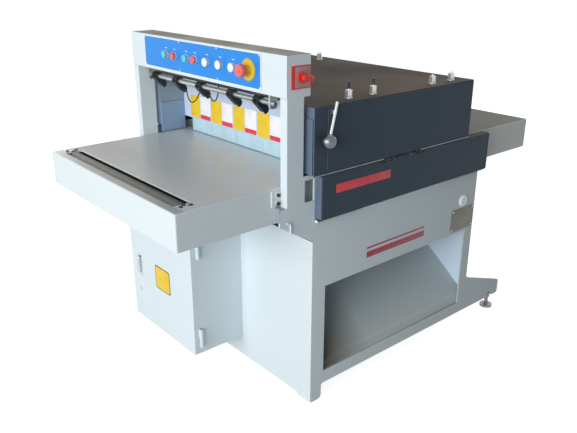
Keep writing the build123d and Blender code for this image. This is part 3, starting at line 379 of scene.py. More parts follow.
# Tones along the feed: colour, where each starts, where it is full, and how much it covers
# The first tone is a painted reflection of the curtain, the last partly sawdust and partly painted shade.
table_tones = {
    "painted_curtain_reflection": ("#E2EFF4", -720, -450, 0.8),
    "handled_strip": ("#A3A49B", -886, -898, 0.75),
    "sawdust_and_painted_shade": ("#6E6B5D", 340, 370, 0.85),
}
table_finish = fresh("coated_skirts_with_lacquered_top")
where = add(table_finish, "TexCoord")
height = add(table_finish, "SeparateXYZ", {0: (where, "Normal")})
top = add(table_finish, "MapRange", {"Value": (height, "Z"), "From Min": 0.9, "From Max": 0.99})
clouds = add(table_finish, "TexNoise", {"Vector": (where, "Object"), "Scale": per_mm(240), "Detail": 4})
skirt_colour = add(table_finish, "Mix", {0: (clouds, "Fac"), 6: linear("#D0DCE1"), 7: linear("#DAE3E6")},
                   data_type="RGBA")
rubbed_and_painted_light = add(table_finish, "Mapping", {"Vector": (where, "Object"), "Scale": (1, 0.04, 1)})
streaks = add(table_finish, "TexNoise", {"Vector": (rubbed_and_painted_light, 0), "Scale": per_mm(18), "Detail": 2})
spot = add(table_finish, "SeparateXYZ", {0: (where, "Object")})
# Painted light: the top grows paler from left to right.
painted_light_ramp = add(table_finish, "MapRange", {"Value": (spot, "X"), "From Min": painted_light_left * mm,
                                      "From Max": painted_light_right * mm})
dull = add(table_finish, "Mix", {0: (streaks, "Fac"), 6: linear("#A5A69D"), 7: linear("#AEAFA7")},
           data_type="RGBA")
bright = add(table_finish, "Mix", {0: (streaks, "Fac"), 6: linear("#DCDCD6"), 7: linear("#E4E4DF")},
             data_type="RGBA")
plate_colour = add(table_finish, "Mix", {0: (painted_light_ramp, 0), 6: (dull, 2), 7: (bright, 2)}, data_type="RGBA")
laid = {}
for name, (tone, start, full, cover) in table_tones.items():
    laid[name] = add(table_finish, "MapRange", {"Value": (spot, "Y"), "From Min": start * mm,
                                                "From Max": full * mm, "To Max": cover})
    plate_colour = add(table_finish, "Mix", {0: (laid[name], 0), 6: (plate_colour, 2), 7: linear(tone)},
                       data_type="RGBA")
# Sawdust and painted shade at the outfeed end, on the top and on the skirts.
sawdust_and_painted_shade = laid["sawdust_and_painted_shade"]
skirt_colour = add(table_finish, "Mix", {0: (sawdust_and_painted_shade, 0), 6: (skirt_colour, 2), 7: linear("#B3B9B0")},
                   data_type="RGBA")
colour = add(table_finish, "Mix", {0: (top, 0), 6: (skirt_colour, 2), 7: (plate_colour, 2)},
             data_type="RGBA")
skirt_rough = add(table_finish, "MapRange", {"Value": (clouds, "Fac"), "To Min": 0.4, "To Max": 0.52})
plate_rough = add(table_finish, "MapRange", {"Value": (streaks, "Fac"), "To Min": 0.27, "To Max": 0.33})
plate_rough = add(table_finish, "Mix", {0: (sawdust_and_painted_shade, 0), 2: (plate_rough, 0), 3: 0.95}, data_type="FLOAT")
rough = add(table_finish, "Mix", {0: (top, 0), 2: (skirt_rough, 0), 3: (plate_rough, 0)}, data_type="FLOAT")
skin = add(table_finish, "TexNoise", {"Vector": (where, "Object"), "Scale": per_mm(6), "Detail": 2})
bump = add(table_finish, "Bump", {"Strength": 0.04, "Distance": 0.3 * mm, "Height": (skin, "Fac")})
shader = add(table_finish, "BsdfPrincipled", {"Base Color": (colour, 2), "Roughness": (rough, 0),
                                              "Normal": (bump, 0), "IOR": 1.5, "Specular IOR Level": 0.55})
add(table_finish, "OutputMaterial", {"Surface": (shader, 0)})
dress(table_finish, "infeed_table", "outfeed_table", "bed_plate")


# Idle roller of the infeed table: turned steel, gone dark and matt with resin, between two end clamps. Each
# clamp has two blackened socket-head screws, and a third one holds the roller's end.
def settle(piece, name, material, body="machine_frame"):
    """Finish a piece: place applied to its mesh, smooth shading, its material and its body."""
    piece.name = name
    clear()
    piece.select_set(True)
    bpy.context.view_layer.objects.active = piece
    bpy.ops.object.transform_apply(location=True, rotation=True, scale=True)
    bpy.ops.object.shade_smooth_by_angle(angle=radians(32))
    piece.data.materials.clear()
    piece.data.materials.append(material)
    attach(piece, body)
    return piece


def choose(piece, kind, test):
    """Select, in edit mode, the faces, edges or verts of a piece that pass a test."""
    bpy.ops.mesh.select_all(action="DESELECT")
    mesh = bmesh.from_edit_mesh(piece.data)
    for part in getattr(mesh, kind):
        part.select_set(test(part))
    bmesh.update_edit_mesh(piece.data)


def top_face(piece):
    """Select, in edit mode, the faces of a piece that look up."""
    choose(piece, "faces", lambda face: face.normal.z > 0.9)


def ends(name):
    """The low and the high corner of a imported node's box, in millimetres."""
    return [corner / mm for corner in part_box(name)]


def drum(radius, depth, sides=28):
    """Start a round piece: a cylinder standing on the origin, alone selected and in edit mode."""
    clear()
    bpy.ops.mesh.primitive_cylinder_add(vertices=sides, radius=radius, depth=depth,
                                        location=(0, 0, depth / 2))
    piece = bpy.context.object
    bpy.ops.object.transform_apply(location=True, rotation=False, scale=False)
    bpy.ops.object.mode_set(mode="EDIT")
    bpy.ops.mesh.select_mode(type="FACE")
    return piece


def edged_drum(radius, depth, edge, sides=28, rounds=2):
    """A drum with its top edge broken."""
    piece = drum(radius, depth, sides)
    top_face(piece)
    bpy.ops.mesh.bevel(offset=edge, segments=rounds, affect="EDGES")
    return piece


def cut(piece, tool):
    """Take a tool's shape out of a piece, and remove the tool."""
    bpy.ops.object.mode_set(mode="OBJECT")
    bpy.context.view_layer.objects.active = piece
    hollow = piece.modifiers.new("hollow", "BOOLEAN")
    hollow.operation = "DIFFERENCE"
    hollow.object = tool
    bpy.ops.object.modifier_apply(modifier=hollow.name)
    bpy.data.objects.remove(tool)


def joined(pieces):
    """Join pieces into the first of them."""
    clear()
    for piece in pieces:
        piece.select_set(True)
    bpy.context.view_layer.objects.active = pieces[0]
    if len(pieces) > 1:
        bpy.ops.object.join()
    return pieces[0]


def copies(model, spots, turn):
    """Copy a modelled fastener to each spot, turned about its foot, and join the copies into one piece."""
    clear()
    made = []
    for spot in spots:
        one = model.copy()
        one.data = model.data.copy()
        one.data.transform(Matrix.Translation(Vector(spot) * mm) @ Euler(turn).to_matrix().to_4x4())
        bpy.context.scene.collection.objects.link(one)
        made.append(one)
    return joined(made)


def socket_screw(head, height, socket):
    """A socket-head screw's head: turned rim with a broken edge, and a hexagon sunk in its top."""
    screw = edged_drum(head, height, 0.09 * head)
    choose(screw, "faces", lambda face: face.normal.z > 0.99)
    bpy.ops.mesh.inset(thickness=0.1 * head, depth=0)
    hexagon = drum(socket, height, sides=6)
    bpy.ops.object.mode_set(mode="OBJECT")
    hexagon.location.z = 0.45 * height
    cut(screw, hexagon)
    return screw


turned_steel = metal("resin_darkened_turned_steel", "#5C5D55", "#4D4E47", 0.5, 40, drawn=(60, 1, 1),
                     scratch=0.05)
dress(turned_steel, "infeed_roller")
black_oxide = metal("blackened_screw_steel", "#3A3B3D", "#515254", 0.36, 6)
roller_low, roller_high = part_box("infeed_roller")
roller_y = (roller_low.y + roller_high.y) / 2 / mm
table_height = ends("infeed_table")[1].z
clamp_x = 394
roller_end = 380
clamp_pitch = 34
screw_spots = []
for side in (-1, 1):
    screw_spots += [(side * clamp_x, roller_y - clamp_pitch / 2, table_height),
                    (side * clamp_x, roller_y + clamp_pitch / 2, table_height),
                    (side * roller_end, roller_y, table_height)]
roller_screw = socket_screw(head=7 * mm, height=3.5 * mm, socket=3.6 * mm)
settle(copies(roller_screw, screw_spots, (0, 0, 0)), "idle_roller_screws", black_oxide)
bpy.data.objects.remove(roller_screw)


# Roller end clamps: small strips pressed from zinc-plated sheet beside the idle roller, held down by the
# two outer screws at each end.
def plate(low, high, thin, corner, rim, rounds=5):
    """A flat plate between two corners in millimetres, thin along one axis: round corners, soft rims."""
    low = Vector(low) * mm
    high = Vector(high) * mm
    clear()
    bpy.ops.mesh.primitive_cube_add(size=1, location=(low + high) / 2)
    piece = bpy.context.object
    piece.scale = high - low
    bpy.ops.object.transform_apply(location=True, rotation=False, scale=True)
    bpy.ops.object.mode_set(mode="EDIT")
    bpy.ops.mesh.select_mode(type="EDGE")
    choose(piece, "edges", lambda edge: abs((edge.verts[1].co - edge.verts[0].co).normalized()[thin]) > 0.9)
    bpy.ops.mesh.bevel(offset=corner * mm, segments=rounds, affect="EDGES")
    choose(piece, "edges", lambda edge: abs((edge.verts[1].co - edge.verts[0].co)[thin]) < 1e-6)
    bpy.ops.mesh.bevel(offset=rim * mm, segments=2, affect="EDGES")
    return piece


clamp_half_width = 8
clamp_half_length = 26
clamp_sheet = 0.8
for side, name in ((-1, "left"), (1, "right")):
    left = side * clamp_x - clamp_half_width
    right = side * clamp_x + clamp_half_width
    strip = plate((left, roller_y - clamp_half_length, table_height),
                  (right, roller_y + clamp_half_length, table_height + clamp_sheet),
                  thin=2, corner=4, rim=0.25)
    settle(strip, f"idle_roller_strip_{name}", zinc_plate)

# Rear lip of the roller's slot: a narrow pressed strip laid along the slot's edge, zinc plated and kept
# bright by the boards that slide over it.
lip_half = 366
lip_offset = 30.2
lip_front = roller_y + lip_offset
lip_width = 2.2
lip_height = 0.5
lip = plate((-lip_half, lip_front, table_height),
            (lip_half, lip_front + lip_width, table_height + lip_height),
            thin=2, corner=0.8, rim=0.2, rounds=2)
settle(lip, "idle_roller_lip", zinc_plate)

# Dust tray below the idle roller: a shallow open box folded from thin sheet and hung under the slot. Its
# enamel is painted dark as painted shade for the roller's slot, with a dusty film where it lies flat.
# Dark tray colours: painted shade in the roller's slot.
shade_dark_enamel = coat("shade_dark_tray_enamel", "#3C3830", "#464136", "#5C564A", 0.6, 5, "#4A4337", 0.8,
                    gloss=0.1)
tray_gap = 9
tray_shift = 4
tray_sheet = 1
tray_drop = 4.5
tray_top = table_height - tray_drop
tray_low = roller_low / mm - Vector((-tray_shift, tray_gap, tray_gap))
tray_high = roller_high / mm + Vector((-tray_shift, tray_gap, 0))
clear()
bpy.ops.mesh.primitive_cube_add(size=1)
tray = bpy.context.object
tray.location = Vector(((tray_low.x + tray_high.x) / 2, roller_y, (tray_low.z + tray_top) / 2)) * mm
tray.scale = Vector((tray_high.x - tray_low.x, tray_high.y - tray_low.y, tray_top - tray_low.z)) * mm
bpy.ops.object.transform_apply(location=True, rotation=False, scale=True)
bpy.ops.object.mode_set(mode="EDIT")
bpy.ops.mesh.select_mode(type="FACE")
top_face(tray)
bpy.ops.mesh.delete(type="FACE")
bpy.ops.object.mode_set(mode="OBJECT")
sheet = tray.modifiers.new("sheet", "SOLIDIFY")
sheet.thickness = tray_sheet * mm
sheet.offset = 1
bpy.ops.object.modifier_apply(modifier=sheet.name)
settle(tray, "idle_roller_tray", shade_dark_enamel)

# Chute seal: a folded strip in the chute's enamel, spot welded below the chute's lower lip, that closes the
# slit to the right side plate.
seal_height = 14
seal_inward = 3
seal_outward = 1.8
seal_gap = 0.2
chute_low, chute_high = ends("chip_chute")
seal = plate((chute_high.x - seal_inward, chute_low.y, chute_low.z - seal_height),
             (chute_high.x + seal_outward, chute_high.y, chute_low.z - seal_gap),
             thin=1, corner=1.2, rim=0.3, rounds=3)
settle(seal, "chute_seal", chute_enamel)

# Bolts of the table brackets: two blackened socket bolts on broad zinc-plated washers through each side of
# the table, one above the other.
bolt_y = -557
bolt_heights = (827, 799)
washer_radius = 12.5
washer_thickness = 1.6
bolt_head = socket_screw(head=6 * mm, height=4 * mm, socket=3.2 * mm)
washer = edged_drum(washer_radius * mm, washer_thickness * mm, edge=0.4 * mm, sides=32)
bolt_head.data.transform(Matrix.Translation((0, 0, washer_thickness * mm)))
for side, name in ((-1, "left"), (1, "right")):
    spots = [(side * bracket_face, bolt_y, z) for z in bolt_heights]
    heads = copies(bolt_head, spots, (0, side * pi / 2, 0))
    settle(heads, f"table_bracket_bolts_{name}", black_oxide)
    rings = copies(washer, spots, (0, side * pi / 2, 0))
    settle(rings, f"table_bracket_washers_{name}", zinc_plate)
bpy.data.objects.remove(bolt_head)
bpy.data.objects.remove(washer)

# Screws of the rear panels: button-head socket screws of dulled steel along the edges of the base's rear
# panel and of the control box's cover.
panel_bolt = socket_screw(head=6 * mm, height=3 * mm, socket=2.6 * mm)
panel_column = 438
panel_inset = 24
rear_low, rear_high = ends("base_rear_panel")
rows = (rear_low.z + panel_inset, rear_high.z - panel_inset)
spots = [(x, rear_high.y, z) for x in (-panel_column, 0, panel_column) for z in rows]
spots += [(x, rear_high.y, (rear_low.z + rear_high.z) / 2) for x in (-panel_column, panel_column)]
settle(copies(panel_bolt, spots, (-pi / 2, 0, 0)), "rear_panel_screws", dulled_steel)
lid_columns = (-446, -150, 150, 446)
lid_inset = 12
lid_low, lid_high = ends("control_box_cover")
rows = (lid_low.z + lid_inset, lid_high.z - lid_inset)
spots = [(x, lid_high.y, z) for x in lid_columns for z in rows]
settle(copies(panel_bolt, spots, (-pi / 2, 0, 0)), "box_cover_screws", dulled_steel)
bpy.data.objects.remove(panel_bolt)

# Control panel: a thin plate in smooth sky-blue paint on the front of the control box, framed by a raised
# rim of flat white printing ink and held by eight zinc-plated cross-head screws.
panel_paint = coat("sky_blue_panel_paint", "#1F85DF", "#2C8FE4", "#7DBDF2", 0.34, 9, gloss=0.25)
dress(panel_paint, "control_panel")
panel_low, panel_high = ends("control_panel")
panel_face = panel_low.y
white_print = moulded("white_printing_ink", "#F2F6F7", "#E3E9EA", 0.5, 3, depth=0.03)
rim_width = 3
rim_height = 0.7
clear()
bpy.ops.mesh.primitive_plane_add(size=1, rotation=(pi / 2, 0, 0))
rim = bpy.context.object
rim.location = (panel_low + panel_high) / 2 * mm
rim.location.y = panel_face * mm
rim.scale = ((panel_high.x - panel_low.x) * mm, (panel_high.z - panel_low.z) * mm, 1)
bpy.ops.object.transform_apply(location=True, rotation=True, scale=True)
bpy.ops.object.mode_set(mode="EDIT")
bpy.ops.mesh.select_all(action="SELECT")
bpy.ops.mesh.inset(thickness=rim_width * mm, depth=0)
bpy.ops.mesh.delete(type="FACE")
bpy.ops.mesh.select_all(action="SELECT")
bpy.ops.mesh.extrude_region_move(TRANSFORM_OT_translate={"value": (0, -rim_height * mm, 0)})
bpy.ops.mesh.select_all(action="SELECT")
bpy.ops.mesh.normals_make_consistent(inside=False)
bpy.ops.mesh.select_mode(type="EDGE")
rim_middle = (panel_face - rim_height / 2) * mm
choose(rim, "edges", lambda edge: all(vert.co.y < rim_middle for vert in edge.verts))
bpy.ops.mesh.bevel(offset=0.25 * mm, segments=2, affect="EDGES")
settle(rim, "control_panel_rim", white_print)


def low_head(radius, rim, rise, taper):
    """A low round head: a straight rim, drawn in to a smaller flat on top."""
    head = drum(radius * mm, rim * mm, sides=20)
    top_face(head)
    bpy.ops.mesh.extrude_region_move(TRANSFORM_OT_translate={"value": (0, 0, rise * mm)})
    bpy.ops.transform.resize(value=(taper, taper, 1))
    return head


screw_columns = (-359, -122, 111, 339)
screw_inset = 7
cross_size = (3.4 * mm, 0.8 * mm, 1.6 * mm)
cross_middle = 1.8 * mm
panel_screw = low_head(radius=3.2, rim=0.9, rise=0.7, taper=0.6)
for turn in (0, pi / 2):
    clear()
    bpy.ops.mesh.primitive_cube_add(size=1, location=(0, 0, cross_middle), rotation=(0, 0, turn))
    blade = bpy.context.object
    blade.scale = cross_size
    cut(panel_screw, blade)
rows = (panel_low.z + screw_inset, panel_high.z - screw_inset)
spots = [(x, panel_face, z) for x in screw_columns for z in rows]
settle(copies(panel_screw, spots, (pi / 2, 0, 0)), "control_panel_screws", zinc_plate)
bpy.data.objects.remove(panel_screw)

# Push buttons: smooth, half-glossy domed caps moulded in coloured plastic, which press into satin grey
# collars clamped through the panel. A short white bar is printed above each.
button_plastics = {
    "teal_green_button_plastic": ("#5CCBD2", "#4FBBC4", ("saw_start_button", "feed_start_button")),
    "soft_red_button_plastic": ("#E8655E", "#DA564F", ("saw_stop_button", "feed_stop_button")),
    "white_button_plastic": ("#F0F3F3", "#E2E7E7", ("laser_button", "lamp_button", "jog_button")),
}
bar_half = 7
bar_gap = 9
bar_height = 2
ink_thickness = 0.2
bars = []
for finish, (base, smudge, buttons) in button_plastics.items():
    dress(moulded(finish, base, smudge, 0.28, 2, depth=0.04), *buttons)
    for button in buttons:
        cap_low, cap_high = ends(button)
        middle = (cap_low.x + cap_high.x) / 2
        bar_low = cap_high.z + bar_gap
        bars.append(plate((middle - bar_half, panel_face - ink_thickness, bar_low),
                          (middle + bar_half, panel_face, bar_low + bar_height),
                          thin=1, corner=0.6, rim=0.05, rounds=2))
settle(joined(bars), "button_legend_bars", white_print)
dress(moulded("satin_grey_collar_plastic", "#C8CED1", "#B4BABD", 0.4, 2), "button_collars")

# Emergency stop: a red mushroom button over a yellow ring on the panel. Both are mouldings, the button
# glossy and the ring more satin.
dress(moulded("emergency_red_plastic", "#F0695E", "#E15A50", 0.25, 3, depth=0.03), "emergency_button")
dress(moulded("signal_yellow_plastic", "#D6B534", "#C7A52A", 0.36, 3, depth=0.03), "emergency_ring")

# Main switch: a red plate screwed to the right end of the control box, with a smoky grey plastic face stuck
# on it, and the red turning knob of grained nylon.
switch_nylon = moulded("main_switch_red_nylon", "#DB332E", "#C42B27", 0.34, 1.5, depth=0.1)
dress(switch_nylon, "main_switch_knob", "switch_plate")
smoky_plastic = moulded("smoky_switch_plastic", "#A39393", "#938584", 0.3, 2, depth=0.04)
face_margin = 4
front_margin = 13
face_thickness = 0.4
switch_low, switch_high = ends("switch_plate")
switch_face = plate((switch_high.x, switch_low.y + front_margin, switch_low.z + face_margin),
                    (switch_high.x + face_thickness, switch_high.y - face_margin,
                     switch_high.z - face_margin), thin=0, corner=4, rim=0.15)
settle(switch_face, "main_switch_face", smoky_plastic)

# Lasers: a polished rod on two plated brackets, and five line-laser units of matt black anodised alloy
# clamped to it, each with a ruby window, small and shiny, at the barrel's end. Their thin leads are satin
# black PVC.
polished_rod = metal("polished_rod_steel", "#CDCFCE", "#B7BABA", 0.3, 30, drawn=(1, 12, 12), scratch=0.03)
dress(polished_rod, "laser_rod")
dress(zinc_plate, "laser_brackets")
dress(moulded("black_anodised_alloy", "#17181A", "#232528", 0.38, 1.2), "laser_units")
dress(moulded("black_pvc_lead", "#131314", "#1E1E20", 0.45, 2), "laser_leads")
laser_places = (-380, -230, -72, 118, 264)
laser_tilt = radians(34.5)
rod_middle = Vector((0, -493, 1092))
arm_length = 39
barrel_half = 15
window_radius = 6.2
window_thickness = 1.2
barrel_line = Vector((0, sin(laser_tilt), -cos(laser_tilt)))
window = drum(window_radius * mm, window_thickness * mm)
top_face(window)
bpy.ops.mesh.inset(thickness=1.6 * mm, depth=0)
bpy.ops.mesh.inset(thickness=0.5 * mm, depth=-0.7 * mm)
tip = rod_middle + barrel_line * (arm_length + barrel_half)
window_turn = barrel_line.to_track_quat("Z", "Y").to_euler()
ruby_glass = moulded("ruby_window_glass", "#6E0F18", "#8A1420", 0.12, 4, depth=0.02)
windows = copies(window, [(place, tip.y, tip.z) for place in laser_places], window_turn)
settle(windows, "laser_windows", ruby_glass)
bpy.data.objects.remove(window)

# Rollers and arbor: shafts and tubes of machine steel, turned and then ground, with the wheel's marks round
# them. They shine softly.
ground_steel = metal("ground_machine_steel", "#BFC3C5", "#A9AEB1", 0.3, 50, drawn=(1, 0.05, 1))
dress(ground_steel, "lower_roller_front", "lower_roller_rear", "saw_arbor", "upper_roller_1",
      "upper_roller_2", "upper_roller_3", "upper_roller_4")

# Saw blades: discs of tempered plate, ground flat in rings, clamped on the arbor between sleeves. They are
# a little darker in patches.
dress(metal("ground_blade_steel", "#B9BDBF", "#8F9496", 0.28, 25, drawn=(8, 1, 1)), "saw_blades")

# Stud threads: the studs of the two front pressure yokes carry a rolled thread above their nuts, black and
# matt with oil and dust. The thread's ridge winds round a plain core.
oiled_thread = moulded("oil_blackened_thread", "#241F1A", "#302A23", 0.6, 1)
stud_columns = (-270, 448)
nut_height = 30
nut_top = ends("hood")[1].z + nut_height
core_radius = 5.15
core_end = 0.7
thread_start = 1
thread_pitch = 1.75
thread_radius = 4.9
thread_steps = 14
ridge = 1.0
for number in (1, 2):
    yoke = f"pressure_yoke_{number}"
    yoke_low, yoke_high = ends(yoke)
    row = (yoke_low.y + yoke_high.y) / 2
    turns = int((yoke_high.z - nut_top - thread_start) / thread_pitch)
    clear()
    bpy.ops.mesh.primitive_circle_add(vertices=3, radius=ridge * mm, location=(thread_radius * mm, 0, 0),
                                      rotation=(pi / 2, 0, 0))
    thread = bpy.context.object
    bpy.ops.object.transform_apply(location=True, rotation=True, scale=True)
    helix = thread.modifiers.new("helix", "SCREW")
    helix.axis = "Z"
    helix.screw_offset = thread_pitch * mm
    helix.iterations = turns
    helix.steps = thread_steps
    helix.render_steps = thread_steps
    bpy.ops.object.modifier_apply(modifier=helix.name)
    bpy.ops.object.mode_set(mode="EDIT")
    bpy.ops.mesh.select_all(action="SELECT")
    bpy.ops.mesh.fill_holes(sides=4)
    bpy.ops.mesh.select_all(action="SELECT")
    bpy.ops.mesh.normals_make_consistent(inside=False)
    core = edged_drum(core_radius * mm, (yoke_high.z - nut_top - core_end) * mm, edge=0.8 * mm, sides=20)
    thread = joined([thread, core])
    spots = [(stud, row, nut_top + thread_start) for stud in stud_columns]
    settle(copies(thread, spots, (0, 0, 0)), f"stud_threads_{number}", oiled_thread, yoke)
    bpy.data.objects.remove(thread)

# Hood: folded sheet in dark blue-grey satin enamel, browned on top by a film that is partly fine wood dust
# and partly a painted warm reflection. Its front faces are painted paler as painted light, and the board
# and the liners of the throat are in a lighter lavender grey and blue, partly their paint and partly
# painted light.
painted_light_front = -410
throat_middle = -28.2
throat_half = 462.8
throat_rear = -344.5
throat_top = 1092
liner_top = 972.2
liner_inner = 430


def throat_paint_and_painted_light(material, where, colour):
    """Painted light on forward faces, and lavender grey in the throat, bluer on the liners, partly paint,
    partly painted light.
    """
    forward = forward_faces(material, where)
    spot = add(material, "SeparateXYZ", {0: (where, "Object")})
    edge = add(material, "Math", {0: (spot, "Y"), 1: painted_light_front * mm}, operation="LESS_THAN")
    rubbed_and_painted_light = add(material, "Math", {0: (forward, 0), 1: (edge, 0)}, operation="MULTIPLY")
    # 627185 is painted light on the hood's front faces.
    colour = add(material, "Mix", {0: (rubbed_and_painted_light, 0), 6: (colour, 2), 7: linear("#627185")}, data_type="RGBA")
    aside = add(material, "Math", {0: (spot, "X")}, operation="ABSOLUTE")
    offset = add(material, "Math", {0: (spot, "X"), 1: -throat_middle * mm}, operation="ADD")
    inner = add(material, "Math", {0: (offset, 0)}, operation="ABSOLUTE")
    between = add(material, "Math", {0: (inner, 0), 1: throat_half * mm}, operation="LESS_THAN")
    ahead = add(material, "Math", {0: (spot, "Y"), 1: throat_rear * mm}, operation="LESS_THAN")
    below = add(material, "Math", {0: (spot, "Z"), 1: throat_top * mm}, operation="LESS_THAN")
    throat = add(material, "Math", {0: (between, 0), 1: (ahead, 0)}, operation="MULTIPLY")
    throat = add(material, "Math", {0: (throat, 0), 1: (below, 0)}, operation="MULTIPLY")
    lined = add(material, "Math", {0: (spot, "Z"), 1: liner_top * mm}, operation="LESS_THAN")
    beside = add(material, "Math", {0: (aside, 0), 1: liner_inner * mm}, operation="GREATER_THAN")
    # The throat and liner colours are partly paint and partly painted light on faces in shade.
    cheek = add(material, "Mix", {0: (lined, 0), 6: linear("#8FA3B3"), 7: linear("#8CA6C4")},
                data_type="RGBA")
    pale = add(material, "Mix", {0: (beside, 0), 6: linear("#C0CCE0"), 7: (cheek, 2)}, data_type="RGBA")
    return add(material, "Mix", {0: (throat, 0), 6: (colour, 2), 7: (pale, 2)}, data_type="RGBA")


navy_enamel = coat("dark_blue_grey_satin_enamel", "#3A4551", "#414D59", "#70808F", 0.52, 4, "#3F3524", 0.95,
                   gloss=0.12, second=throat_paint_and_painted_light, dust_and_reflection_patches="#6E5E47")
dress(navy_enamel, "hood", "belt_guard")

# Strip curtain under the front board: strips of soft pale-blue plastic with a faint sheen, hung behind the
# board's lower edge just clear of the bed. They keep chips in.
curtain_plastic = moulded("pale_blue_curtain_plastic", "#B9D6E2", "#A9C8D6", 0.4, 6, depth=0.05)
strip_count = 8
strip_pitch = 101
strip_gap = 0.6
curtain_left = -380
curtain_front = -341.4
curtain_back = -339.9
curtain_foot = 852.5
curtain_top = 930
strip = plate((0, curtain_front, curtain_foot), (strip_pitch - strip_gap, curtain_back, curtain_top),
              thin=1, corner=2, rim=0.3)
spots = [(curtain_left + strip_pitch * number, 0, 0) for number in range(strip_count)]
curtain = copies(strip, spots, (0, 0, 0))
settle(curtain, "strip_curtain", curtain_plastic)
bpy.data.objects.remove(strip)

# Edge strips under the hood's right side: two lengths of plain aluminium bar, dulled by the cover that
# closes on them, with room between them for the cover's finger slots.
bare_alloy = metal("worn_aluminium", "#8F9699", "#7E8588", 0.4, 30, drawn=(1, 0.1, 1))
rail_inner = 480
rail_outer = 493.5
rail_gap = 1
rail_thickness = 3.5
rail_foot = ends("side_cover")[1].z + rail_gap
for name, front, rear in (("front", -450, -130), ("rear", 70, 351)):
    edge_strip = plate((rail_inner, front, rail_foot), (rail_outer, rear, rail_foot + rail_thickness),
                       thin=2, corner=1, rim=0.4)
    settle(edge_strip, f"hood_edge_strip_{name}", bare_alloy)

# Cards on the hood's front board: four pairs of plain yellow and white printed cards, the white ones with a
# plain red foot. They are thin plastic film with little gloss, stuck to the sheet.
yellow_film = moulded("yellow_printed_film", "#E9C52A", "#DDB720", 0.45, 4, depth=0.03)
white_film = moulded("white_printed_film", "#F1EFF3", "#E3E1E7", 0.45, 4, depth=0.03)
red_film = moulded("red_printed_film", "#DD3F4A", "#CC3641", 0.45, 4, depth=0.03)
board_face = -345
card_thickness = 0.4
card_front = board_face - card_thickness
card_pairs = 4
first_card = -382
card_pitch = 149
card_width = 70
card_gap = 2
card_bottom = 911
card_top = 1001
foot_height = 18
foot_gap = 1
foot_top = card_bottom + foot_height
for number in range(card_pairs):
    left = first_card + card_pitch * number
    middle = left + card_width + card_gap
    cards = (("yellow", left, card_bottom, card_top, "yellow_plastic", yellow_film),
             ("white", middle, foot_top, card_top, "button_white", white_film),
             ("red", middle, card_bottom, foot_top - foot_gap, "stop_red", red_film))
    for name, edge, low, high, slot, film in cards:
        card = plate((edge, card_front, low), (edge + card_width, board_face, high),
                     thin=1, corner=3, rim=0.1)
        settle(card, f"{name}_card_{number + 1}", film)

# Release lever: a plated rod screwed into its shaft's hub, with a solid steel ball on the end, which hands
# have darkened to a satin grey.
ball_edge = 1017
ball_neck = 1013


def ball_tone(material, where, colour):
    """Darker grey on the ball at the rod's lower end."""
    spot = add(material, "SeparateXYZ", {0: (where, "Object")})
    ball = add(material, "MapRange", {"Value": (spot, "Z"), "From Min": ball_edge * mm,
                                      "From Max": ball_neck * mm})
    return add(material, "Mix", {0: (ball, 0), 6: (colour, 2), 7: linear("#6C7376")}, data_type="RGBA")


satin_steel = metal("satin_plated_steel", "#D4D7D8", "#BFC3C5", 0.32, 30, scratch=0.03, second=ball_tone)
dress(satin_steel, "release_lever")

# Side cover: a pressed pan in the hood's enamel, hinged at its lower edge and held shut by one slotted
# screw. A plain red band of film is stuck to its face.
dress(navy_enamel, "side_cover")
cover_face = ends("side_cover")[1].x
cover_screw_spot = (cover_face, 444, 856)
screw_radius = 5
screw_height = 1.6
slot_size = (12 * mm, 1.4 * mm, 1.6 * mm)
cover_screw = edged_drum(screw_radius * mm, screw_height * mm, edge=1 * mm, sides=24, rounds=3)
clear()
bpy.ops.mesh.primitive_cube_add(size=1, location=(0, 0, screw_height * mm))
slot_tool = bpy.context.object
slot_tool.scale = slot_size
cut(cover_screw, slot_tool)
screw = copies(cover_screw, [cover_screw_spot], (0, pi / 2, 0))
settle(screw, "side_cover_screw", black_oxide, "side_cover")
bpy.data.objects.remove(cover_screw)
film_thickness = 0.3
band_front = -362
band_rear = -98
band_bottom = 806
band_top = 836
band = plate((cover_face, band_front, band_bottom), (cover_face + film_thickness, band_rear, band_top),
             thin=0, corner=3, rim=0.1)
settle(band, "side_cover_band", red_film, "side_cover")

# Drive on the left: motor, gearmotor and rails in half-glossy dark grey enamel, pulley and bearing housings
# of machined cast iron, dull and grainy, and V-belts of matt fabric-faced rubber.
dark_enamel = coat("dark_grey_motor_enamel", "#6B7378", "#747C81", "#A4A8A8", 0.42, 3)
dress(dark_enamel, "main_motor", "feed_gearmotor", "motor_rails")
cast_iron = metal("machined_cast_iron", "#6B6C6E", "#55575A", 0.5, 6, scratch=0.2)
dress(cast_iron, "motor_pulley", "bearing_housings")
dress(moulded("fabric_faced_belt_rubber", "#1B1B1C", "#28282A", 0.7, 1, depth=0.3), "drive_belts")

# Mounting plate in the cabinet: galvanised sheet with a fine spangle, and on it rows of dark plastic
# switchgear with grey ducts between them.
sheet_depth = 4
sheet_front = ends("electrical_plate")[1].y - sheet_depth
duct_middle = 400
row_pitch = 210
duct_half = 30
switchgear = fresh("galvanised_plate_with_switchgear")
where = add(switchgear, "TexCoord")
spot = add(switchgear, "SeparateXYZ", {0: (where, "Object")})
raised = add(switchgear, "Math", {0: (spot, "Y"), 1: sheet_front * mm}, operation="LESS_THAN")
patches = add(switchgear, "TexVoronoi", {"Vector": (where, "Object"), "Scale": per_mm(9)})
sheet_colour = add(switchgear, "Mix", {0: (patches, "Distance"), 6: linear("#B9BDBE"),
                                       7: linear("#CDD0D0")}, data_type="RGBA")
rows = add(switchgear, "Math", {0: (spot, "Z"), 1: duct_middle * mm}, operation="SUBTRACT")
rows = add(switchgear, "Math", {0: (rows, 0), 1: row_pitch * mm}, operation="PINGPONG")
device = add(switchgear, "Math", {0: (rows, 0), 1: duct_half * mm}, operation="GREATER_THAN")
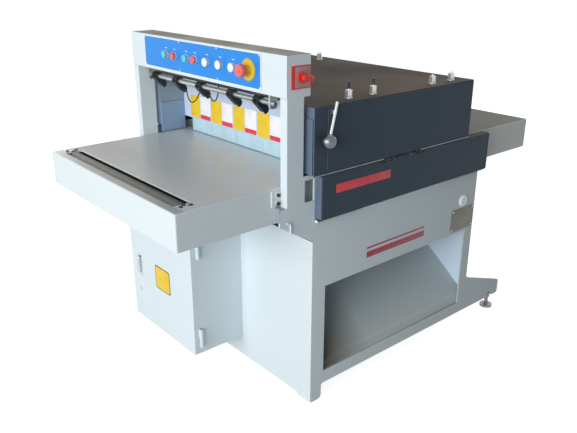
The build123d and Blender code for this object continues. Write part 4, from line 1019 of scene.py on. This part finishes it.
grain = add(switchgear, "TexNoise", {"Vector": (where, "Object"), "Scale": per_mm(3), "Detail": 3})
gear_colour = add(switchgear, "Mix", {0: (device, 0), 6: linear("#9EA3A5"), 7: linear("#33363A")},
                  data_type="RGBA")
colour = add(switchgear, "Mix", {0: (raised, 0), 6: (sheet_colour, 2), 7: (gear_colour, 2)},
             data_type="RGBA")
bare = add(switchgear, "Math", {0: 1.0, 1: (raised, 0)}, operation="SUBTRACT")
rough = add(switchgear, "MapRange", {"Value": (grain, "Fac"), "To Min": 0.38, "To Max": 0.55})
bump = add(switchgear, "Bump", {"Strength": 0.1, "Distance": 0.2 * mm, "Height": (grain, "Fac")})
shader = add(switchgear, "BsdfPrincipled", {"Base Color": (colour, 2), "Roughness": (rough, 0),
                                            "Metallic": (bare, 0), "Normal": (bump, 0)})
add(switchgear, "OutputMaterial", {"Surface": (shader, 0)})
dress(switchgear, "electrical_plate")

# Cabinet door: satin chromed swing latch with a lock below it, screwed on, and a plain yellow plate of film
# stuck on a slightly larger one, whose edge shows dark.
latch_chrome = metal("satin_chrome_latch", "#D3D8DB", "#BFC5C9", 0.22, 20, scratch=0.03)
dress(latch_chrome, "latch_plate", "latch_handle")
sign_edge = moulded("black_edge_paint", "#2A2A26", "#35342F", 0.5, 3)
door_face = ends("cabinet_door")[0].y
sheet_thickness = 0.4
sign_left = -202
sign_right = -100
sign_bottom = 294
sign_top = 386
backing_margin = 4
backing_face = door_face - sheet_thickness
backing = plate((sign_left - backing_margin, backing_face, sign_bottom - backing_margin),
                (sign_right + backing_margin, door_face, sign_top + backing_margin),
                thin=1, corner=10, rim=0.1)
settle(backing, "door_plate_edge", sign_edge, "cabinet_door")
sign = plate((sign_left, backing_face - sheet_thickness, sign_bottom), (sign_right, backing_face, sign_top),
             thin=1, corner=8, rim=0.1)
settle(sign, "door_plate", yellow_film, "cabinet_door")

# Rating plate: a plain plate of dull bronze-brown anodised sheet on the right side, with a zinc-plated
# rivet in each corner.
side_face = ends("base_side_right")[1].x
bronze_plate = metal("bronze_anodised_sheet", "#6F6E66", "#5F5E57", 0.45, 14, drawn=(1, 0.1, 1))
rating_thickness = 0.8
rating_face = side_face + rating_thickness
rating_front = 333
rating_rear = 482
rating_bottom = 468
rating_top = 566
rivet_inset = 9
rating = plate((side_face, rating_front, rating_bottom), (rating_face, rating_rear, rating_top),
               thin=0, corner=8, rim=0.2)
settle(rating, "rating_plate", bronze_plate)
rivet = low_head(radius=3.4, rim=0.8, rise=0.8, taper=0.55)
columns = (rating_front + rivet_inset, rating_rear - rivet_inset)
rows = (rating_bottom + rivet_inset, rating_top - rivet_inset)
spots = [(rating_face, y, z) for y in columns for z in rows]
settle(copies(rivet, spots, (0, pi / 2, 0)), "rating_plate_rivets", zinc_plate)
bpy.data.objects.remove(rivet)

# Trim on the side plate: two straight crimson stripes of printed film, a broad one and a thin one, stuck on
# above the chip window.
crimson_film = moulded("crimson_printed_film", "#A3243A", "#931F34", 0.42, 4, depth=0.03)
stripe_front = -165
stripe_rear = 160
for name, low, high in (("broad", 505, 529), ("thin", 540, 547)):
    stripe = plate((side_face, stripe_front, low), (side_face + film_thickness, stripe_rear, high),
                   thin=0, corner=1.5, rim=0.1)
    settle(stripe, f"side_stripe_{name}", crimson_film)

# Wire hook on the gusset: a short rod in the machine's coat, welded upright to the plate and bent over
# towards the operator at its top end.
rod_radius = 3.2
hook_bend = 6
hook_rise = 36
hook_reach = 7
hook_y = -531
hook_z = 694
weld_gap = 0.1
hook_foot = Vector((side_face + rod_radius + weld_gap, hook_y, hook_z))
clear()
bpy.ops.mesh.primitive_circle_add(vertices=12, radius=rod_radius * mm, fill_type="NGON",
                                  location=hook_foot * mm)
hook = bpy.context.object
bpy.ops.object.transform_apply(location=True, rotation=True, scale=True)
bpy.ops.object.mode_set(mode="EDIT")
bpy.ops.mesh.select_mode(type="FACE")
bpy.ops.mesh.select_all(action="SELECT")
bpy.ops.mesh.extrude_region_move(TRANSFORM_OT_translate={"value": (0, 0, hook_rise * mm)})
bend_middle = (hook_foot + Vector((0, -hook_bend, hook_rise))) * mm
bpy.ops.mesh.spin(steps=8, angle=-pi / 2, center=bend_middle, axis=(1, 0, 0))
bpy.ops.mesh.extrude_region_move(TRANSFORM_OT_translate={"value": (0, -hook_reach * mm, 0)})
bpy.ops.mesh.select_all(action="SELECT")
bpy.ops.mesh.remove_doubles(threshold=0.01 * mm)
bpy.ops.mesh.normals_make_consistent(inside=False)
settle(hook, "wire_hook", light_grey_coat)
